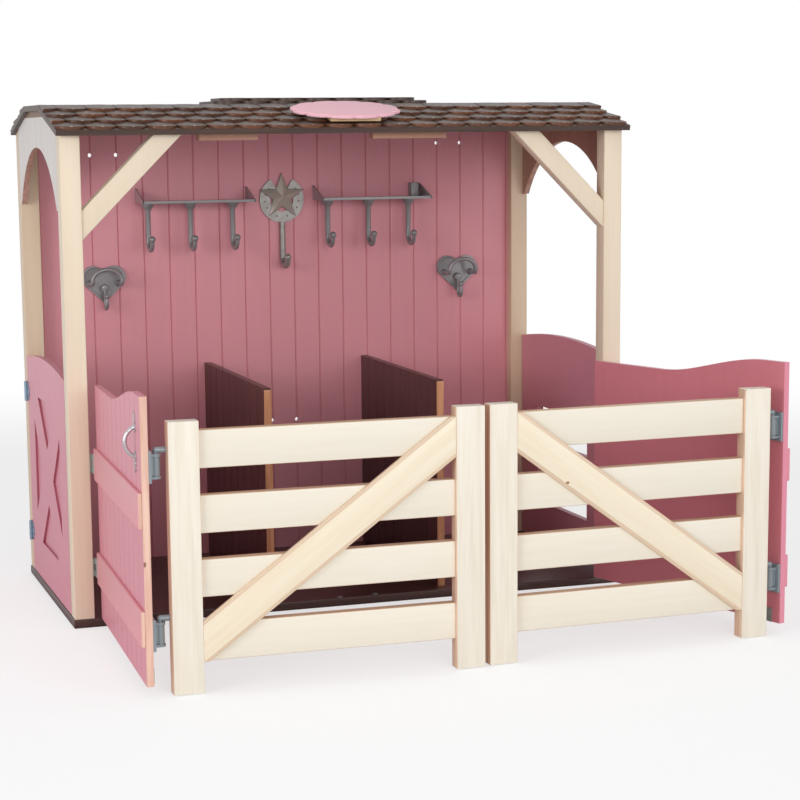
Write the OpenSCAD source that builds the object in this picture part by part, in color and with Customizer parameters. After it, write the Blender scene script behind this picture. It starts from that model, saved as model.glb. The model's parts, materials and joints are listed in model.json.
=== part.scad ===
// Toy stable barn for dolls' horses: open front, hinged front doors that carry
// a pair of lift-off gates, a hinged door in each end, and a lapped scallop roof.
// Millimetres, +Z up, origin on the floor under the middle of the base board.

/* [House] */
// Width over the outer faces of the posts
barn_w = 652; // [648:1:656]
// Depth over the outer faces of the posts
barn_d = 308; // [306:1:310]
// Thickness of the base board
base_t = 9.5; // [8:0.5:12]
// How far the base stands out past the posts
base_lip = 1; // [0.5:0.5:2]
// Post size across the front
post_w = 22; // [20:1:24]
// Post size front to back
post_d = 21.5; // [20:0.5:23]
// Thickness of the back wall
wall_t = 7; // [6:0.5:9]
// Spacing of the grooves in the back wall
groove_pitch = 31.84; // [28:0.02:34]

/* [Roof] */
// Height of the flat top of the roof boards
roof_top = 567.5; // [560:0.5:575]
// Half width of the flat top
flat_half = 50; // [46:1:54]
// Fall of the two slopes in degrees
roof_slope = 13.5; // [12:0.5:15]
// Roof board thickness, measured straight up
board_t = 6.1; // [5:0.1:8]
// Length of the roof
roof_w = 662; // [658:1:668]
// How far forward the front eave reaches
front_eave = 166; // [163:1:168]
// How far back the rear eave reaches
rear_eave = 162; // [160:1:166]
// Scallops in a full row of shingles
scallops = 20; // [16:1:24]
// Radius of a scallop
scallop_r = 18; // [17.5:0.1:20]
// Length of one shingle from its upper edge to its tip
shingle_len = 36; // [34:1:38]
// Tilt of a shingle off the boards, rise over run
shingle_tilt = 0.108; // [0.08:0.002:0.13]
// Thickness of a shingle at its upper edge
shingle_edge = 0.4; // [0.3:0.1:0.8]

/* [Front doors] */
// Opening of the left front door as it stands, in degrees
left_open = 92.33; // [91:0.01:94]
// Opening of the right front door as it stands, in degrees
right_open = 107.63; // [106.5:0.01:109]
// Distance of the hinge axis in from the outer face of the post
hinge_in = 26.4; // [26:0.1:27]
// Distance of the hinge axis in front of the post
hinge_out = 2.6; // [2.6:0.1:3]
// Door width measured from the hinge axis
door_w = 297.5; // [295:0.5:297.5]
// Door thickness
door_t = 7.1; // [6:0.1:8]
// Height of the low hinge side of the door
door_low = 268; // [260:1:272]
// Height of the tall free side of the door
door_high = 291.5; // [285:0.5:296]
// Planks across one front door
door_planks = 10; // [8:1:12]
// Heights of the middles of the two cross battens
batten_z = [67, 182];
// Height of one cross batten
batten_h = 35; // [30:1:38]
// Thickness of a cross batten
batten_t = 4; // [3:0.1:4]

/* [Gates] */
// Distance of the gate pintles from the door's hinge axis
pintle_s = 289.3; // [288:0.1:290]
// Distance of the gate pintles behind the hinge axis plane
pintle_n = 18.05; // [18:0.05:19]
// Length of one gate
gate_len = 319; // [316:1:319]
// Width of a gate post
gate_post = 30; // [26:1:34]
// Thickness of a gate post, made of two glued strips
gate_t = 15.5; // [14:0.5:15.5]
// Bottom and top of the gate posts
gate_z = [0.8, 266.5];
// Middles of the four rails
rail_z = [50, 113, 175.5, 238.5];
// Height of one rail
rail_h = 37; // [34:1:40]
// Width of the slanting brace
gate_brace = 36; // [30:1:40]

/* [End doors] */
// Height of an end door in the middle of its curved top
side_top = 280; // [276:1:284]
// Rise of the curved top over its ends
side_rise = 9; // [6:1:12]
// Thickness of an end door
side_t = 7.5; // [6:0.5:9]
// Depth of the sunk triangles in the left end door
pocket = 3; // [2:0.5:4]

/* [Inside] */
// Thickness of the stall dividers
divider_t = 8.5; // [7:0.5:10]
// Height of the top of the stall dividers
divider_top = 252; // [245:1:258]
// Height of the hook shelf trays
tray_z = 451.5; // [445:0.5:456]
// Radius of the star ornament
star_r = 30.5; // [28:0.5:32]

/* [Hidden] */
$fn = 64;
half_w = barn_w / 2;
half_d = barn_d / 2;
in_x = half_w - post_w;
in_y = half_d - post_d;
wall_y = half_d - wall_t;
end_t = 6.5;
// beam under the flat top
beam_drop = 7;
beam_out = 76;
// hinges: knuckle, pin, running gap, leaf
knuckle_r = 2.6;
hinge_pin = 1.2;
pin_gap = 0.05;
leaf_t = 1;
hinge_h = 20;
strike_s = 278.5;
slack = 0.35;
axis_x = half_w - hinge_in;
axis_y = half_d + hinge_out;
// end door hinges
side_hinge_z = [58, 229];
side_axis = [half_w + 2.2, half_d - post_d - 0.5];
side_knuckle = 2.1;
// gate pintles
barrel_r = 4.3;
barrel_h = 24;
barrel_z = [48, 211.5];
pintle_r = 2.5;
gate_start = 9.8;
gate_front = -12.2;
gate_turn = [left_open - 0.73, right_open - 1.73];

function roof_z(y) = roof_top - max(0, abs(y) - flat_half) * tan(roof_slope);
function under_z(y) = roof_z(y) - board_t;
function clamp(t) = min(1, max(0, t));
function ease(t) = t * t * (3 - 2 * t);
// top line of a front door: low over the hinges, sweeping up to the middle
function door_top(s) = door_low + (door_high - door_low) * ease(clamp((s - 110) / 155));

// ---- helpers ----
// a profile drawn in (Y, Z) and run along X
module along_x(len) {
    rotate([90, 0, 90])
        linear_extrude(len, center = true)
            children();
}

// a profile drawn in (X, Z) and run back along +Y from y = 0
module along_y(len) {
    translate([0, len, 0])
        rotate([90, 0, 0])
            linear_extrude(len)
                children();
}

module block(a, b) {
    translate(a)
        cube(b - a);
}

// everything under the roof boards and the beam
module under_roof() {
    e = half_d + 12;
    b = roof_top - board_t - beam_drop;
    y0 = flat_half + (beam_drop) / tan(roof_slope);
    along_x(barn_w + 20)
        polygon([[-e, -1], [e, -1], [e, under_z(e)], [y0, b], [-y0, b], [-e, under_z(e)]]);
}

// a shallow V groove up a board, cut from its face at y = 0 towards +y
module v_groove(x, z0, z1, w = 2.4, depth = 1.2) {
    translate([x, 0, z0])
        linear_extrude(z1 - z0)
            polygon([[-w / 2, -0.01], [w / 2, -0.01], [0, depth]]);
}

// ---- house ----
module base_board() {
    color("#44281f")
        block([-half_w - base_lip, -half_d - base_lip, 0], [half_w + base_lip, half_d + base_lip, base_t]);
}

// one corner post with its top cut to the roof; sx and sy pick the corner
module post(sx, sy) {
    x0 = sx > 0 ? in_x : -half_w;
    y0 = sy > 0 ? in_y : -half_d;
    intersection() {
        block([x0, y0, base_t], [x0 + post_w, y0 + post_d, roof_top]);
        under_roof();
    }
}

module front_left_post() {
    color("#ecdcc0") post(-1, -1);
}

module front_right_post() {
    color("#ecdcc0") post(1, -1);
}

module rear_left_post() {
    color("#ecdcc0") post(-1, 1);
}

module rear_right_post() {
    color("#ecdcc0") post(1, 1);
}

// back wall of grooved boards with three pairs of small holes for cords
module back_wall() {
    color("#c98290")
        difference() {
            intersection() {
                block([-in_x, wall_y, base_t], [in_x, half_d, roof_top]);
                under_roof();
            }
            translate([0, wall_y, 0])
                for (k = [0:19])
                    v_groove((k - 9.5) * groove_pitch, base_t - 1, roof_top);
            for (h = [[2, 510], [3, 510], [16, 520], [17, 520], [9, 174], [10, 174]])
                translate([(h[0] - 9.5) * groove_pitch, wall_y - 1, h[1]])
                    rotate([-90, 0, 0])
                        cylinder(d = 5, h = wall_t + 2);
        }
}

// gable over an end door: flat under the beam, arched below
module gable(sx) {
    arch_r = 152;
    arch_top = 521;
    foot = 454;
    b = roof_top - board_t - beam_drop;
    y0 = flat_half + beam_drop / tan(roof_slope);
    translate([sx * (half_w - end_t / 2), 0, 0])
        along_x(end_t)
            difference() {
                polygon([[-in_y, foot], [in_y, foot], [in_y, under_z(in_y)], [y0, b], [-y0, b], [-in_y, under_z(in_y)]]);
                translate([0, arch_top - arch_r])
                    circle(r = arch_r, $fn = 120);
            }
}

module left_gable() {
    color("#dcd5d2") gable(-1);
}

module right_gable() {
    color("#dcd5d2") gable(1);
}

// ---- roof ----
module ridge_beam() {
    t = roof_top - board_t;
    y0 = flat_half + beam_drop / tan(roof_slope);
    color("#7a5a49")
        along_x(barn_w)
            polygon([[-flat_half, t], [-y0, t - beam_drop], [y0, t - beam_drop], [flat_half, t]]);
}

module roof_top_board() {
    color("#5b4238")
        along_x(roof_w)
            translate([-flat_half, roof_top - board_t])
                square([2 * flat_half, board_t]);
}

// sloping board with its eave cut square
module slope_board(eave) {
    t = board_t * cos(roof_slope);
    dy = t * sin(roof_slope);
    along_x(roof_w)
        polygon([[-flat_half, roof_top], [-flat_half, roof_top - board_t], [-eave + dy, under_z(eave - dy)], [-eave, roof_z(eave)]]);
}

module roof_front_board() {
    color("#4f3a32") slope_board(front_eave);
}

module roof_rear_board() {
    color("#4f3a32") rotate([0, 0, 180]) slope_board(rear_eave);
}

// carries things drawn on a flat slope, with -y down the slope, onto the front slope
module on_slope() {
    translate([0, -flat_half, roof_top])
        rotate([roof_slope, 0, 0])
            children();
}

// one row of lapped fish-scale shingles: a wedge that lies on the row below,
// its lower edge cut to scallops; every second row is shifted by half a scallop
module shingle_row(k, eave) {
    slope_len = (eave - flat_half) / cos(roof_slope);
    lap = (slope_len + 0.6 - shingle_len) / 3;
    pitch = roof_w / scallops;
    up = (k - 1) * lap;
    tip = up + shingle_len;
    last = k == 4;
    shifted = k % 2 == 1;
    thick = shingle_edge + shingle_tilt * shingle_len;
    step = shingle_edge + shingle_tilt * (shingle_len - lap);
    sag = scallop_r - sqrt(scallop_r * scallop_r - pitch * pitch / 4);
    lower = last ? [[-tip, 0]] : [[-tip, step], [-up - lap, shingle_edge], [-up - lap, 0]];
    intersection() {
        along_x(roof_w)
            polygon(concat([[-up, 0], [-up, shingle_edge], [-tip, thick]], lower));
        linear_extrude(2 * thick)
            intersection() {
                union() {
                    translate([-roof_w / 2, -tip + sag + 0.5])
                        square([roof_w, shingle_len - sag - 0.5]);
                    for (i = [0:scallops])
                        translate([-roof_w / 2 + (i + (shifted ? 0 : 0.5)) * pitch, -tip + scallop_r])
                            circle(r = scallop_r);
                }
                translate([-roof_w / 2, -tip - 1])
                    square([roof_w, shingle_len + 1]);
            }
    }
}

module front_row(k) {
    color("#5e4237")
        on_slope()
            shingle_row(k, front_eave);
}

module rear_row(k) {
    color("#5e4237")
        rotate([0, 0, 180])
            on_slope()
                shingle_row(k, rear_eave);
}

// two flat layers of shingles laid over the middle of the flat top
module cap_layer(len, deep, z) {
    t = 3.6;
    n = round(len / 33.1);
    p = len / n;
    r = p * 0.55;
    sag = r - sqrt(r * r - p * p / 4);
    translate([0, 0, z])
        linear_extrude(t)
            intersection() {
                union() {
                    translate([-len / 2, -deep / 2 + sag + 0.5])
                        square([len, deep - 2 * sag - 1]);
                    for (i = [0:n - 1], s = [-1, 1])
                        translate([-len / 2 + (i + 0.5) * p, s * (deep / 2 - r)])
                            circle(r = r);
                }
                square([len, deep + 20], center = true);
            }
}

module roof_cap_lower() {
    color("#5e4237") cap_layer(257, 92, roof_top);
}

module roof_cap_upper() {
    color("#5e4237") cap_layer(236, 66, roof_top + 3.6);
}

// bare sign on the front slope: a scalloped oval on a wooden block
sign_lift = shingle_edge + shingle_tilt * shingle_len;
sign_block = 4.2;
sign_s = 76;

module plaque_block() {
    color("#dcb98c")
        on_slope()
            block([-26, -sign_s - 31, sign_lift], [32, -sign_s + 20, sign_lift + sign_block]);
}

module oval(a, b, bite) {
    polygon([for (i = [0:2:358]) let (f = 1 - bite * pow(1 - abs(sin(6 * i)), 2)) [a * f * cos(i), b * f * sin(i)]]);
}

module roof_plaque() {
    color("#e8a5ae")
        on_slope()
            translate([0, -sign_s, sign_lift + sign_block]) {
                linear_extrude(2.6)
                    oval(63.5, 39, 0.07);
                translate([0, 0, 2.6])
                    linear_extrude(1)
                        oval(61.5, 37, 0.07);
            }
}

module eave_cleats() {
    color("#dcb98c")
        for (c = [[-173, -107], [25, 112]])
            intersection() {
                block([c[0], -148, 527.5], [c[1], -134, 560]);
                under_roof();
            }
}

// ---- braces and dividers ----
// slanting brace from a front post up to the roof
module brace() {
    intersection() {
        translate([-in_x, -152, 0])
            along_y(18)
                polygon([[0, 423], [0, 454], [80, 534], [90, 560], [137, 560]]);
        under_roof();
    }
}

module corner_braces() {
    color("#ecdcc0") {
        brace();
        mirror([1, 0, 0])
            brace();
    }
}

// stall divider with a rounded front top corner and fine grooves on both faces
module divider(x0) {
    front = -137.4;
    r = 4;
    color("#4b2d2a")
        difference() {
            translate([x0 + divider_t / 2, 0, 0])
                along_x(divider_t)
                    union() {
                        translate([front, base_t])
                            square([wall_y - front, divider_top - base_t - r]);
                        translate([front + r, base_t])
                            square([wall_y - front - r, divider_top - base_t]);
                        translate([front + r, divider_top - r])
                            circle(r = r);
                    }
            for (i = [1:8])
                for (side = [0, 1])
                    translate([x0 + side * divider_t, front + i * 31.84, 0])
                        rotate([0, 0, side == 0 ? -90 : 90])
                            v_groove(0, base_t - 1, divider_top + 1, 1.6, 0.8);
        }
}

module left_divider() {
    divider(-103);
}

module right_divider() {
    divider(102.5);
}

// ---- hooks and racks ----
// J hook hanging from z = 0: stem, half turn towards -y, ball at the end
module j_hook(d, drop, r, ball) {
    translate([0, 0, -drop])
        cylinder(d = d, h = drop);
    translate([0, -r, -drop])
        rotate([0, 90, 0])
            rotate([0, 0, -90])
                rotate_extrude(angle = 180)
                    translate([r, 0])
                        circle(d = d, $fn = 32);
    translate([0, -2 * r, -drop])
        sphere(r = ball, $fn = 32);
}

// shelf moulded with its back plate, two end gussets and three hooks
module hook_shelf(x0, x1, hooks) {
    front = wall_y - 45;
    plate_top = tray_z + 18;
    block([x0, front, tray_z], [x1, wall_y, tray_z + 2.5]);
    block([x0, wall_y - 2.5, tray_z], [x1, wall_y, plate_top]);
    block([x0, front, tray_z], [x1, front + 2, tray_z + 4.5]);
    for (x = [x0 + 1, x1 - 1])
        translate([x, 0, 0])
            along_x(2)
                polygon([[front, tray_z], [wall_y, tray_z], [wall_y, plate_top], [front + 2, tray_z + 4.5], [front, tray_z + 4.5]]);
    for (x = hooks)
        translate([x, wall_y - 20, tray_z]) {
            j_hook(6.8, 42, 11, 4.3);
            translate([0, 0, -9])
                cylinder(r1 = 3.4, r2 = 6.9, h = 9);
        }
}

module left_hook_shelf() {
    color("#9d9a9b") hook_shelf(-185, -44, [-173.8, -121, -68]);
}

// the right shelf has a small square cup standing in its tray
module right_hook_shelf() {
    x0 = 167.9;
    x1 = 179.9;
    color("#9d9a9b") {
        hook_shelf(41, 185, [54.5, 108, 161]);
        difference() {
            block([x0, wall_y - 9.3, tray_z + 1], [x1, wall_y - 1, tray_z + 19]);
            block([x0 + 1.2, wall_y - 8.1, tray_z + 4], [x1 - 1.2, wall_y - 2.5, tray_z + 20]);
        }
    }
}

// star in relief: each arm rises to a ridge that runs in to the middle
module star(r, deep) {
    inner = r * 0.4;
    n = 10;
    ring = [for (i = [0:n - 1]) let (q = i % 2 == 0 ? r : inner) [q * sin(i * 36), 0, q * cos(i * 36)]];
    pts = concat(ring, [[0, -deep, 0], [0, 0, 0]]);
    polyhedron(pts, concat([for (i = [0:n - 1]) [i, (i + 1) % n, n]], [for (i = [0:n - 1]) [(i + 1) % n, i, n + 1]]));
}

// horseshoe open at the top, with two rows of nail dimples
module horseshoe(ro, ri, t, gap) {
    difference() {
        along_y(t)
            difference() {
                circle(r = ro);
                circle(r = ri);
                polygon([[0, 0], [-60 * sin(gap), 60 * cos(gap)], [60 * sin(gap), 60 * cos(gap)]]);
            }
        for (i = [0:5], s = [-1, 1])
            rotate([0, s * (52 + i * 22), 0])
                translate([0, -0.01, (ro + ri) / 2])
                    rotate([-90, 0, 0])
                        cylinder(d = 2.4, h = 1);
    }
}

module star_hook() {
    color("#a3a9b8") {
        translate([0, wall_y - 3, 452.5])
            horseshoe(28.5, 15, 3, 29);
        translate([0, wall_y - 3, 455.7])
            star(star_r, 8);
        translate([0, wall_y - 3.6, 424.6])
            j_hook(7.1, 42.9, 11.5, 4.2);
    }
}

// heart outline with its point at the origin
module heart(half, tall) {
    r = 0.526 * half;
    c = half - r;
    h = tall - r;
    d = sqrt(c * c + h * h);
    turn = atan2(h, c) - asin(r / d);
    from = turn - 90;
    to = acos(-c / r);
    n = 20;
    lobe = [for (i = [0:n]) let (a = from + (to - from) * i / n) [c + r * cos(a), h + r * sin(a)]];
    polygon(concat([[0, 0]], lobe, [for (i = [n - 1:-1:0]) [-lobe[i][0], lobe[i][1]]]));
}

// heart plate with a bar in front held by two bosses, and a small hook
module heart_rack(x) {
    reach = 17;
    bar_r = 15;
    z0 = 330.8;
    bar_z = z0 + 27;
    y0 = wall_y - 4;
    color("#9d9a9b")
        translate([x, 0, 0]) {
            difference() {
                translate([0, y0, z0])
                    along_y(4)
                        heart(27, 45.6);
                translate([0, y0 - 0.01, z0 + 4.5])
                    along_y(1.2)
                        heart(22.5, 37.5);
            }
            for (s = [-1, 1])
                translate([s * bar_r, y0 + 2, bar_z])
                    rotate([90, 0, 0]) {
                        cylinder(d = 4, h = reach + 2);
                        cylinder(d1 = 9, d2 = 6, h = 6);
                    }
            for (s = [-1, 1])
                translate([s * bar_r, y0 - reach, bar_z])
                    sphere(d = 5, $fn = 32);
            translate([0, y0 - reach, bar_z])
                rotate([90, 0, 0])
                    rotate([0, 0, 180])
                        rotate_extrude(angle = 180)
                            translate([bar_r, 0])
                                circle(d = 4, $fn = 32);
            translate([0, y0 + 0.5, z0 + 10])
                j_hook(4, 9, 7, 3);
        }
}

module left_heart_rack() {
    heart_rack(-227);
}

module right_heart_rack() {
    heart_rack(232.6);
}

// two magnet buttons at the front of the base, under the plates of the front doors
module magnet_catch() {
    color("#8f8c8d")
        for (m = [-1, 1])
            translate([m * (axis_x - strike_s), -149.6, base_t])
                difference() {
                    cylinder(r = 3.2, h = 0.6);
                    translate([0, 0, 0.3])
                        cylinder(r = 1.4, h = 0.4);
                }
}

// ---- hinges ----
// knuckles of one leaf; the fixed leaf has the two end knuckles and the pin
module knuckles(r, pin, h, fixed) {
    third = h / 3;
    if (fixed) {
        for (z = [0, 2 * third])
            translate([0, 0, z - h / 2])
                cylinder(r = r, h = third - (z == 0 ? slack : 0));
        translate([0, 0, -h / 2 - 1])
            cylinder(r = pin, h = h + 2);
        for (z = [-h / 2 - 1, h / 2])
            translate([0, 0, z])
                cylinder(r = r * 0.85, h = 1);
    }
    if (!fixed)
        difference() {
            translate([0, 0, third - h / 2])
                cylinder(r = r, h = third - slack);
            translate([0, 0, -h])
                cylinder(r = pin + pin_gap, h = 2 * h);
        }
}

// fixed leaf on the inner side of a front post, drawn for the left side
module post_leaf() {
    h = hinge_h;
    third = h / 3;
    side = in_x - axis_x;
    knuckles(knuckle_r, hinge_pin, h, true);
    difference() {
        union() {
            block([-side, hinge_out, -h / 2], [-side + leaf_t, 14.5, h / 2]);
            for (z = [-h / 2, third - h / 2 + third]) {
                block([-side, hinge_out, z], [-0.4, hinge_out + leaf_t, z + third - slack]);
                block([-1.9, 1.4, z], [-0.4, hinge_out + leaf_t, z + third - slack]);
            }
        }
        for (z = [-5.5, 5.5])
            translate([-side + leaf_t + 0.1, 8.5, z])
                rotate([0, -90, 0])
                    cylinder(r1 = 1.6, r2 = 0.8, h = 1.2);
    }
}

module front_hinge_post_leaves() {
    color("#a3a0a2")
        for (m = [0, 1], z = batten_z)
            mirror([m, 0, 0])
                translate([-axis_x, -axis_y, z])
                    post_leaf();
}

// moving leaf on the hinge edge of a front door
module door_leaf() {
    h = hinge_h;
    third = h / 3;
    knuckles(knuckle_r, hinge_pin, h, false);
    difference() {
        union() {
            block([1 - leaf_t, knuckle_r + 0.3, -h / 2], [1, hinge_out + door_t - 0.3, h / 2]);
            block([1 - leaf_t, 1.5, third - h / 2], [1, knuckle_r + 0.4, 2 * third - h / 2 - slack]);
        }
        for (z = [-5.5, 5.5])
            translate([0.9 - leaf_t, 6.3, z])
                rotate([0, 90, 0])
                    cylinder(r1 = 1.6, r2 = 0.8, h = 1.2);
    }
}

// ornamental leaf on an end post or an end door, with a waist and a round tip
module side_leaf(h, fixed) {
    third = h / 3;
    sgn = fixed ? 1 : -1;
    t = 1.2;
    x0 = half_w;
    knuckles(side_knuckle, 1, h, fixed);
    translate([x0 - side_axis[0], 0, 0])
        rotate([0, 0, 90])
            mirror([fixed ? 0 : 1, 0, 0])
                translate([0, -t, 0])
                    along_y(t)
                        difference() {
                            union() {
                                translate([2.4, -h / 2])
                                    square([2.8, h]);
                                translate([8.2, 0])
                                    circle(r = 5);
                                translate([14, 0])
                                    circle(r = 3);
                                for (s = [-1, 1])
                                    translate([6.8, s * 6.9])
                                        circle(r = 3.3);
                            }
                            for (x = [8.2, 14])
                                translate([x, 0])
                                    circle(r = 0.9);
                        }
    bits = fixed ? [-h / 2, h / 6] : [-h / 6];
    for (z = bits)
        translate([0, 0, z])
            translate([x0 - side_axis[0], sgn > 0 ? 0.6 : -2.6, 0])
                cube([t, 2, third - slack]);
}

// places things drawn about the left or right end hinge axis
module at_side(sx) {
    mirror([sx > 0 ? 0 : 1, 0, 0])
        for (z = side_hinge_z)
            translate([side_axis[0], side_axis[1], z])
                children();
}

module side_hinge_post_leaves() {
    color("#8f97ad")
        for (sx = [-1, 1])
            at_side(sx)
                side_leaf(22, true);
}

module left_side_hinge_leaves() {
    color("#8f97ad") at_side(-1) side_leaf(22, false);
}

module right_side_hinge_leaves() {
    color("#8f97ad") at_side(1) side_leaf(22, false);
}

// ---- end doors ----
module side_outline() {
    w = in_y - 1;
    r = (w * w + side_rise * side_rise) / (2 * side_rise);
    intersection() {
        translate([-w, base_t + 1])
            square([2 * w, side_top]);
        translate([0, side_top - r])
            circle(r = r, $fn = 720);
    }
}

// outlines of the four triangles that leave a crossed frame
module cross_panels() {
    polygon([[-57, 230.5], [57, 230.5], [0, 175]]);
    polygon([[-56, 56.5], [56, 56.5], [0, 112]]);
    for (s = [-1, 1])
        polygon([[s * 88.5, 202], [s * 88.5, 89], [s * 35, 144]]);
}

module left_side_panel() {
    color("#d49aa4")
        difference() {
            translate([-half_w + side_t / 2, 0, 0])
                along_x(side_t)
                    side_outline();
            translate([-half_w - 1 + (pocket + 1) / 2, 0, 0])
                along_x(pocket + 1)
                    cross_panels();
        }
}

module right_side_panel() {
    color("#d49aa4")
        translate([half_w - side_t / 2, 0, 0])
            along_x(side_t)
                difference() {
                    side_outline();
                    for (z = [[61, 106], [140, 185]])
                        translate([-77, z[0]])
                            square([154, z[1] - z[0]]);
                }
}

// ---- front doors, drawn closed about the hinge axis ----
module panel() {
    n = 40;
    s0 = 1;
    foot = base_t + 1;
    difference() {
        translate([0, hinge_out, 0])
            along_y(door_t)
                polygon(concat([[door_w, foot], [s0, foot]], [for (i = [0:n]) let (s = s0 + (door_w - s0) * i / n) [s, door_top(s)]]));
        translate([0, hinge_out, 0])
            for (i = [1:door_planks - 1])
                v_groove(s0 + (door_w - s0) * i / door_planks, foot - 1, door_high + 1, 2, 1.1);
    }
}

module battens() {
    for (z = batten_z)
        block([3.3, hinge_out - batten_t, z - batten_h / 2], [door_w, hinge_out, z + batten_h / 2]);
}

// bow pull between two leaf-shaped foot plates
module pull() {
    z0 = 231;
    z1 = 259;
    mid = (z0 + z1) / 2;
    t = 1.4;
    rise = 9;
    half = (z1 - z0) / 2;
    bow = (half * half + rise * rise) / (2 * rise);
    translate([269.5, hinge_out, 0]) {
        for (s = [-1, 1])
            translate([0, -t, mid + s * half])
                along_y(t) {
                    circle(r = 5);
                    translate([0, s * 7])
                        circle(r = 3.6);
                    translate([0, s * 11.5])
                        circle(r = 2.6);
                    polygon([[-2.5, s * 11], [2.5, s * 11], [0, s * 16]]);
                }
        intersection() {
            translate([0, bow - rise - t, mid])
                rotate([0, 90, 0])
                    rotate_extrude()
                        translate([bow, 0])
                            circle(d = 4.2, $fn = 32);
            block([-4, -20, z0 - 4], [4, -0.6, z1 + 4]);
        }
    }
}

// steel plate for the magnet: a turned-up edge and two bored bosses for its screws
module strike() {
    face = hinge_out + door_t;
    z0 = base_t + 1.2;
    difference() {
        union() {
            block([strike_s - 13.5, face, z0], [strike_s + 8, face + 1, z0 + 15]);
            block([strike_s + 6.4, face, z0], [strike_s + 8, face + 2.2, z0 + 15]);
            for (z = [4, 10.2])
                translate([strike_s, face + 0.5, z0 + z])
                    rotate([-90, 0, 0])
                        cylinder(r = 2.9, h = 1.3);
        }
        for (z = [4, 10.2])
            translate([strike_s, face - 0.1, z0 + z])
                rotate([-90, 0, 0])
                    cylinder(r = 1.4, h = 2.1);
    }
}

// moulded bracket with an upright socket for a gate pintle
module bracket(z) {
    face = hinge_out + door_t;
    difference() {
        union() {
            block([278.5, face, z - 3.5], [297, face + 3, z + 27.5]);
            block([pintle_s - 3.4, face + 2.9, z], [pintle_s + 3.4, pintle_n, z + barrel_h]);
            translate([pintle_s, pintle_n, z])
                cylinder(r = barrel_r, h = barrel_h);
            for (e = [0, barrel_h - 2.6]) {
                translate([pintle_s, pintle_n, z + e])
                    cylinder(r = 5.1, h = 2.6);
                block([pintle_s - 5.1, face + 2.9, z + e], [pintle_s + 5.1, pintle_n, z + e + 2.6]);
            }
        }
        for (e = [2.6, barrel_h - 3.3])
            translate([pintle_s, pintle_n, z + e])
                difference() {
                    cylinder(r = 5.3, h = 0.7);
                    translate([0, 0, -0.1])
                        cylinder(r = 3.7, h = 0.9);
                }
        translate([pintle_s, pintle_n, z + 1.5])
            cylinder(r = pintle_r + pin_gap, h = barrel_h);
        for (x = [280.6, 295], dz = [-1.4, 25.4])
            translate([x, face + 3.1, z + dz])
                rotate([90, 0, 0])
                    cylinder(r = 1, h = 1.2);
    }
}

module brackets() {
    for (z = barrel_z)
        bracket(z);
}

module left_at() {
    translate([-axis_x, -axis_y, 0])
        rotate([0, 0, -left_open])
            children();
}

module right_at() {
    mirror([1, 0, 0])
        translate([-axis_x, -axis_y, 0])
            rotate([0, 0, -right_open])
                children();
}

module door_leaves() {
    for (z = batten_z)
        translate([0, 0, z])
            door_leaf();
}

module left_door_panel() {
    color("#d9a1a9") left_at() panel();
}

module left_door_battens() {
    color("#d9a1a9") left_at() battens();
}

module left_door_handle() {
    color("#a3a0a2") left_at() pull();
}

module left_door_hinge_leaves() {
    color("#a3a0a2") left_at() door_leaves();
}

module left_door_catch_plate() {
    color("#8c8a8b") left_at() strike();
}

module left_gate_brackets() {
    color("#9d9a9b") left_at() brackets();
}

module right_door_panel() {
    color("#d9a1a9") right_at() panel();
}

module right_door_battens() {
    color("#d9a1a9") right_at() battens();
}

module right_door_handle() {
    color("#a3a0a2") right_at() pull();
}

module right_door_hinge_leaves() {
    color("#a3a0a2") right_at() door_leaves();
}

module right_door_catch_plate() {
    color("#8c8a8b") right_at() strike();
}

module right_gate_brackets() {
    color("#9d9a9b") right_at() brackets();
}

// ---- gates, drawn about the pintle axis with the free end towards +x ----
gate_end = gate_start + gate_len;
gate_back = gate_front + gate_t;
rail_x0 = gate_start + gate_post;
rail_x1 = gate_end - gate_post;
brace_t = 4;

// each post is two strips, with the joint showing as a fine line round its sides and ends
module gate_posts() {
    joint = gate_front + 7.4;
    difference() {
        for (x = [gate_start, rail_x1])
            block([x, gate_front, gate_z[0]], [x + gate_post, gate_back, gate_z[1]]);
        for (x = [gate_start, gate_end])
            translate([x, joint, 0])
                rotate([0, 0, x == gate_start ? -90 : 90])
                    v_groove(0, gate_z[0] - 1, gate_z[1] + 1, 1, 0.6);
        for (x = [rail_x0, rail_x1], z = [[gate_z[0] - 1, rail_z[0] - rail_h / 2], [rail_z[0] + rail_h / 2, rail_z[1] - rail_h / 2],
                [rail_z[1] + rail_h / 2, rail_z[2] - rail_h / 2], [rail_z[2] + rail_h / 2, rail_z[3] - rail_h / 2], [rail_z[3] + rail_h / 2, gate_z[1] + 1]])
            translate([x, joint, 0])
                rotate([0, 0, x == rail_x0 ? 90 : -90])
                    v_groove(0, z[0], z[1], 1, 0.6);
    }
}

module gate_rails() {
    for (z = rail_z)
        block([rail_x0, gate_front + brace_t, z - rail_h / 2], [rail_x1, gate_back, z + rail_h / 2]);
}

// brace from the foot of the hinge side to the head of the free side
module gate_brace_bar() {
    z0 = rail_z[0] - rail_h / 2;
    z1 = rail_z[3] + rail_h / 2;
    run = rail_x1 - rail_x0;
    lift = z1 - z0 - gate_brace;
    turn = atan2(lift, run);
    translate([0, gate_front, 0])
        along_y(brace_t)
            intersection() {
                translate([rail_x0, z0])
                    square([run, z1 - z0]);
                translate([rail_x0 + run / 2, (z0 + z1) / 2])
                    rotate(turn)
                        square([2 * run, gate_brace], center = true);
            }
}

// arm that hooks over the socket, with its pin hanging down inside
module arms() {
    r = 3;
    for (z = barrel_z)
        translate([0, 0, z + barrel_h + 0.5 + r]) {
            translate([0, 0, -r - barrel_h + 4])
                cylinder(r = pintle_r, h = r + barrel_h - 4);
            sphere(r = r, $fn = 32);
            rotate([0, 90, 0])
                cylinder(r = r, h = gate_start);
        }
}

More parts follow.
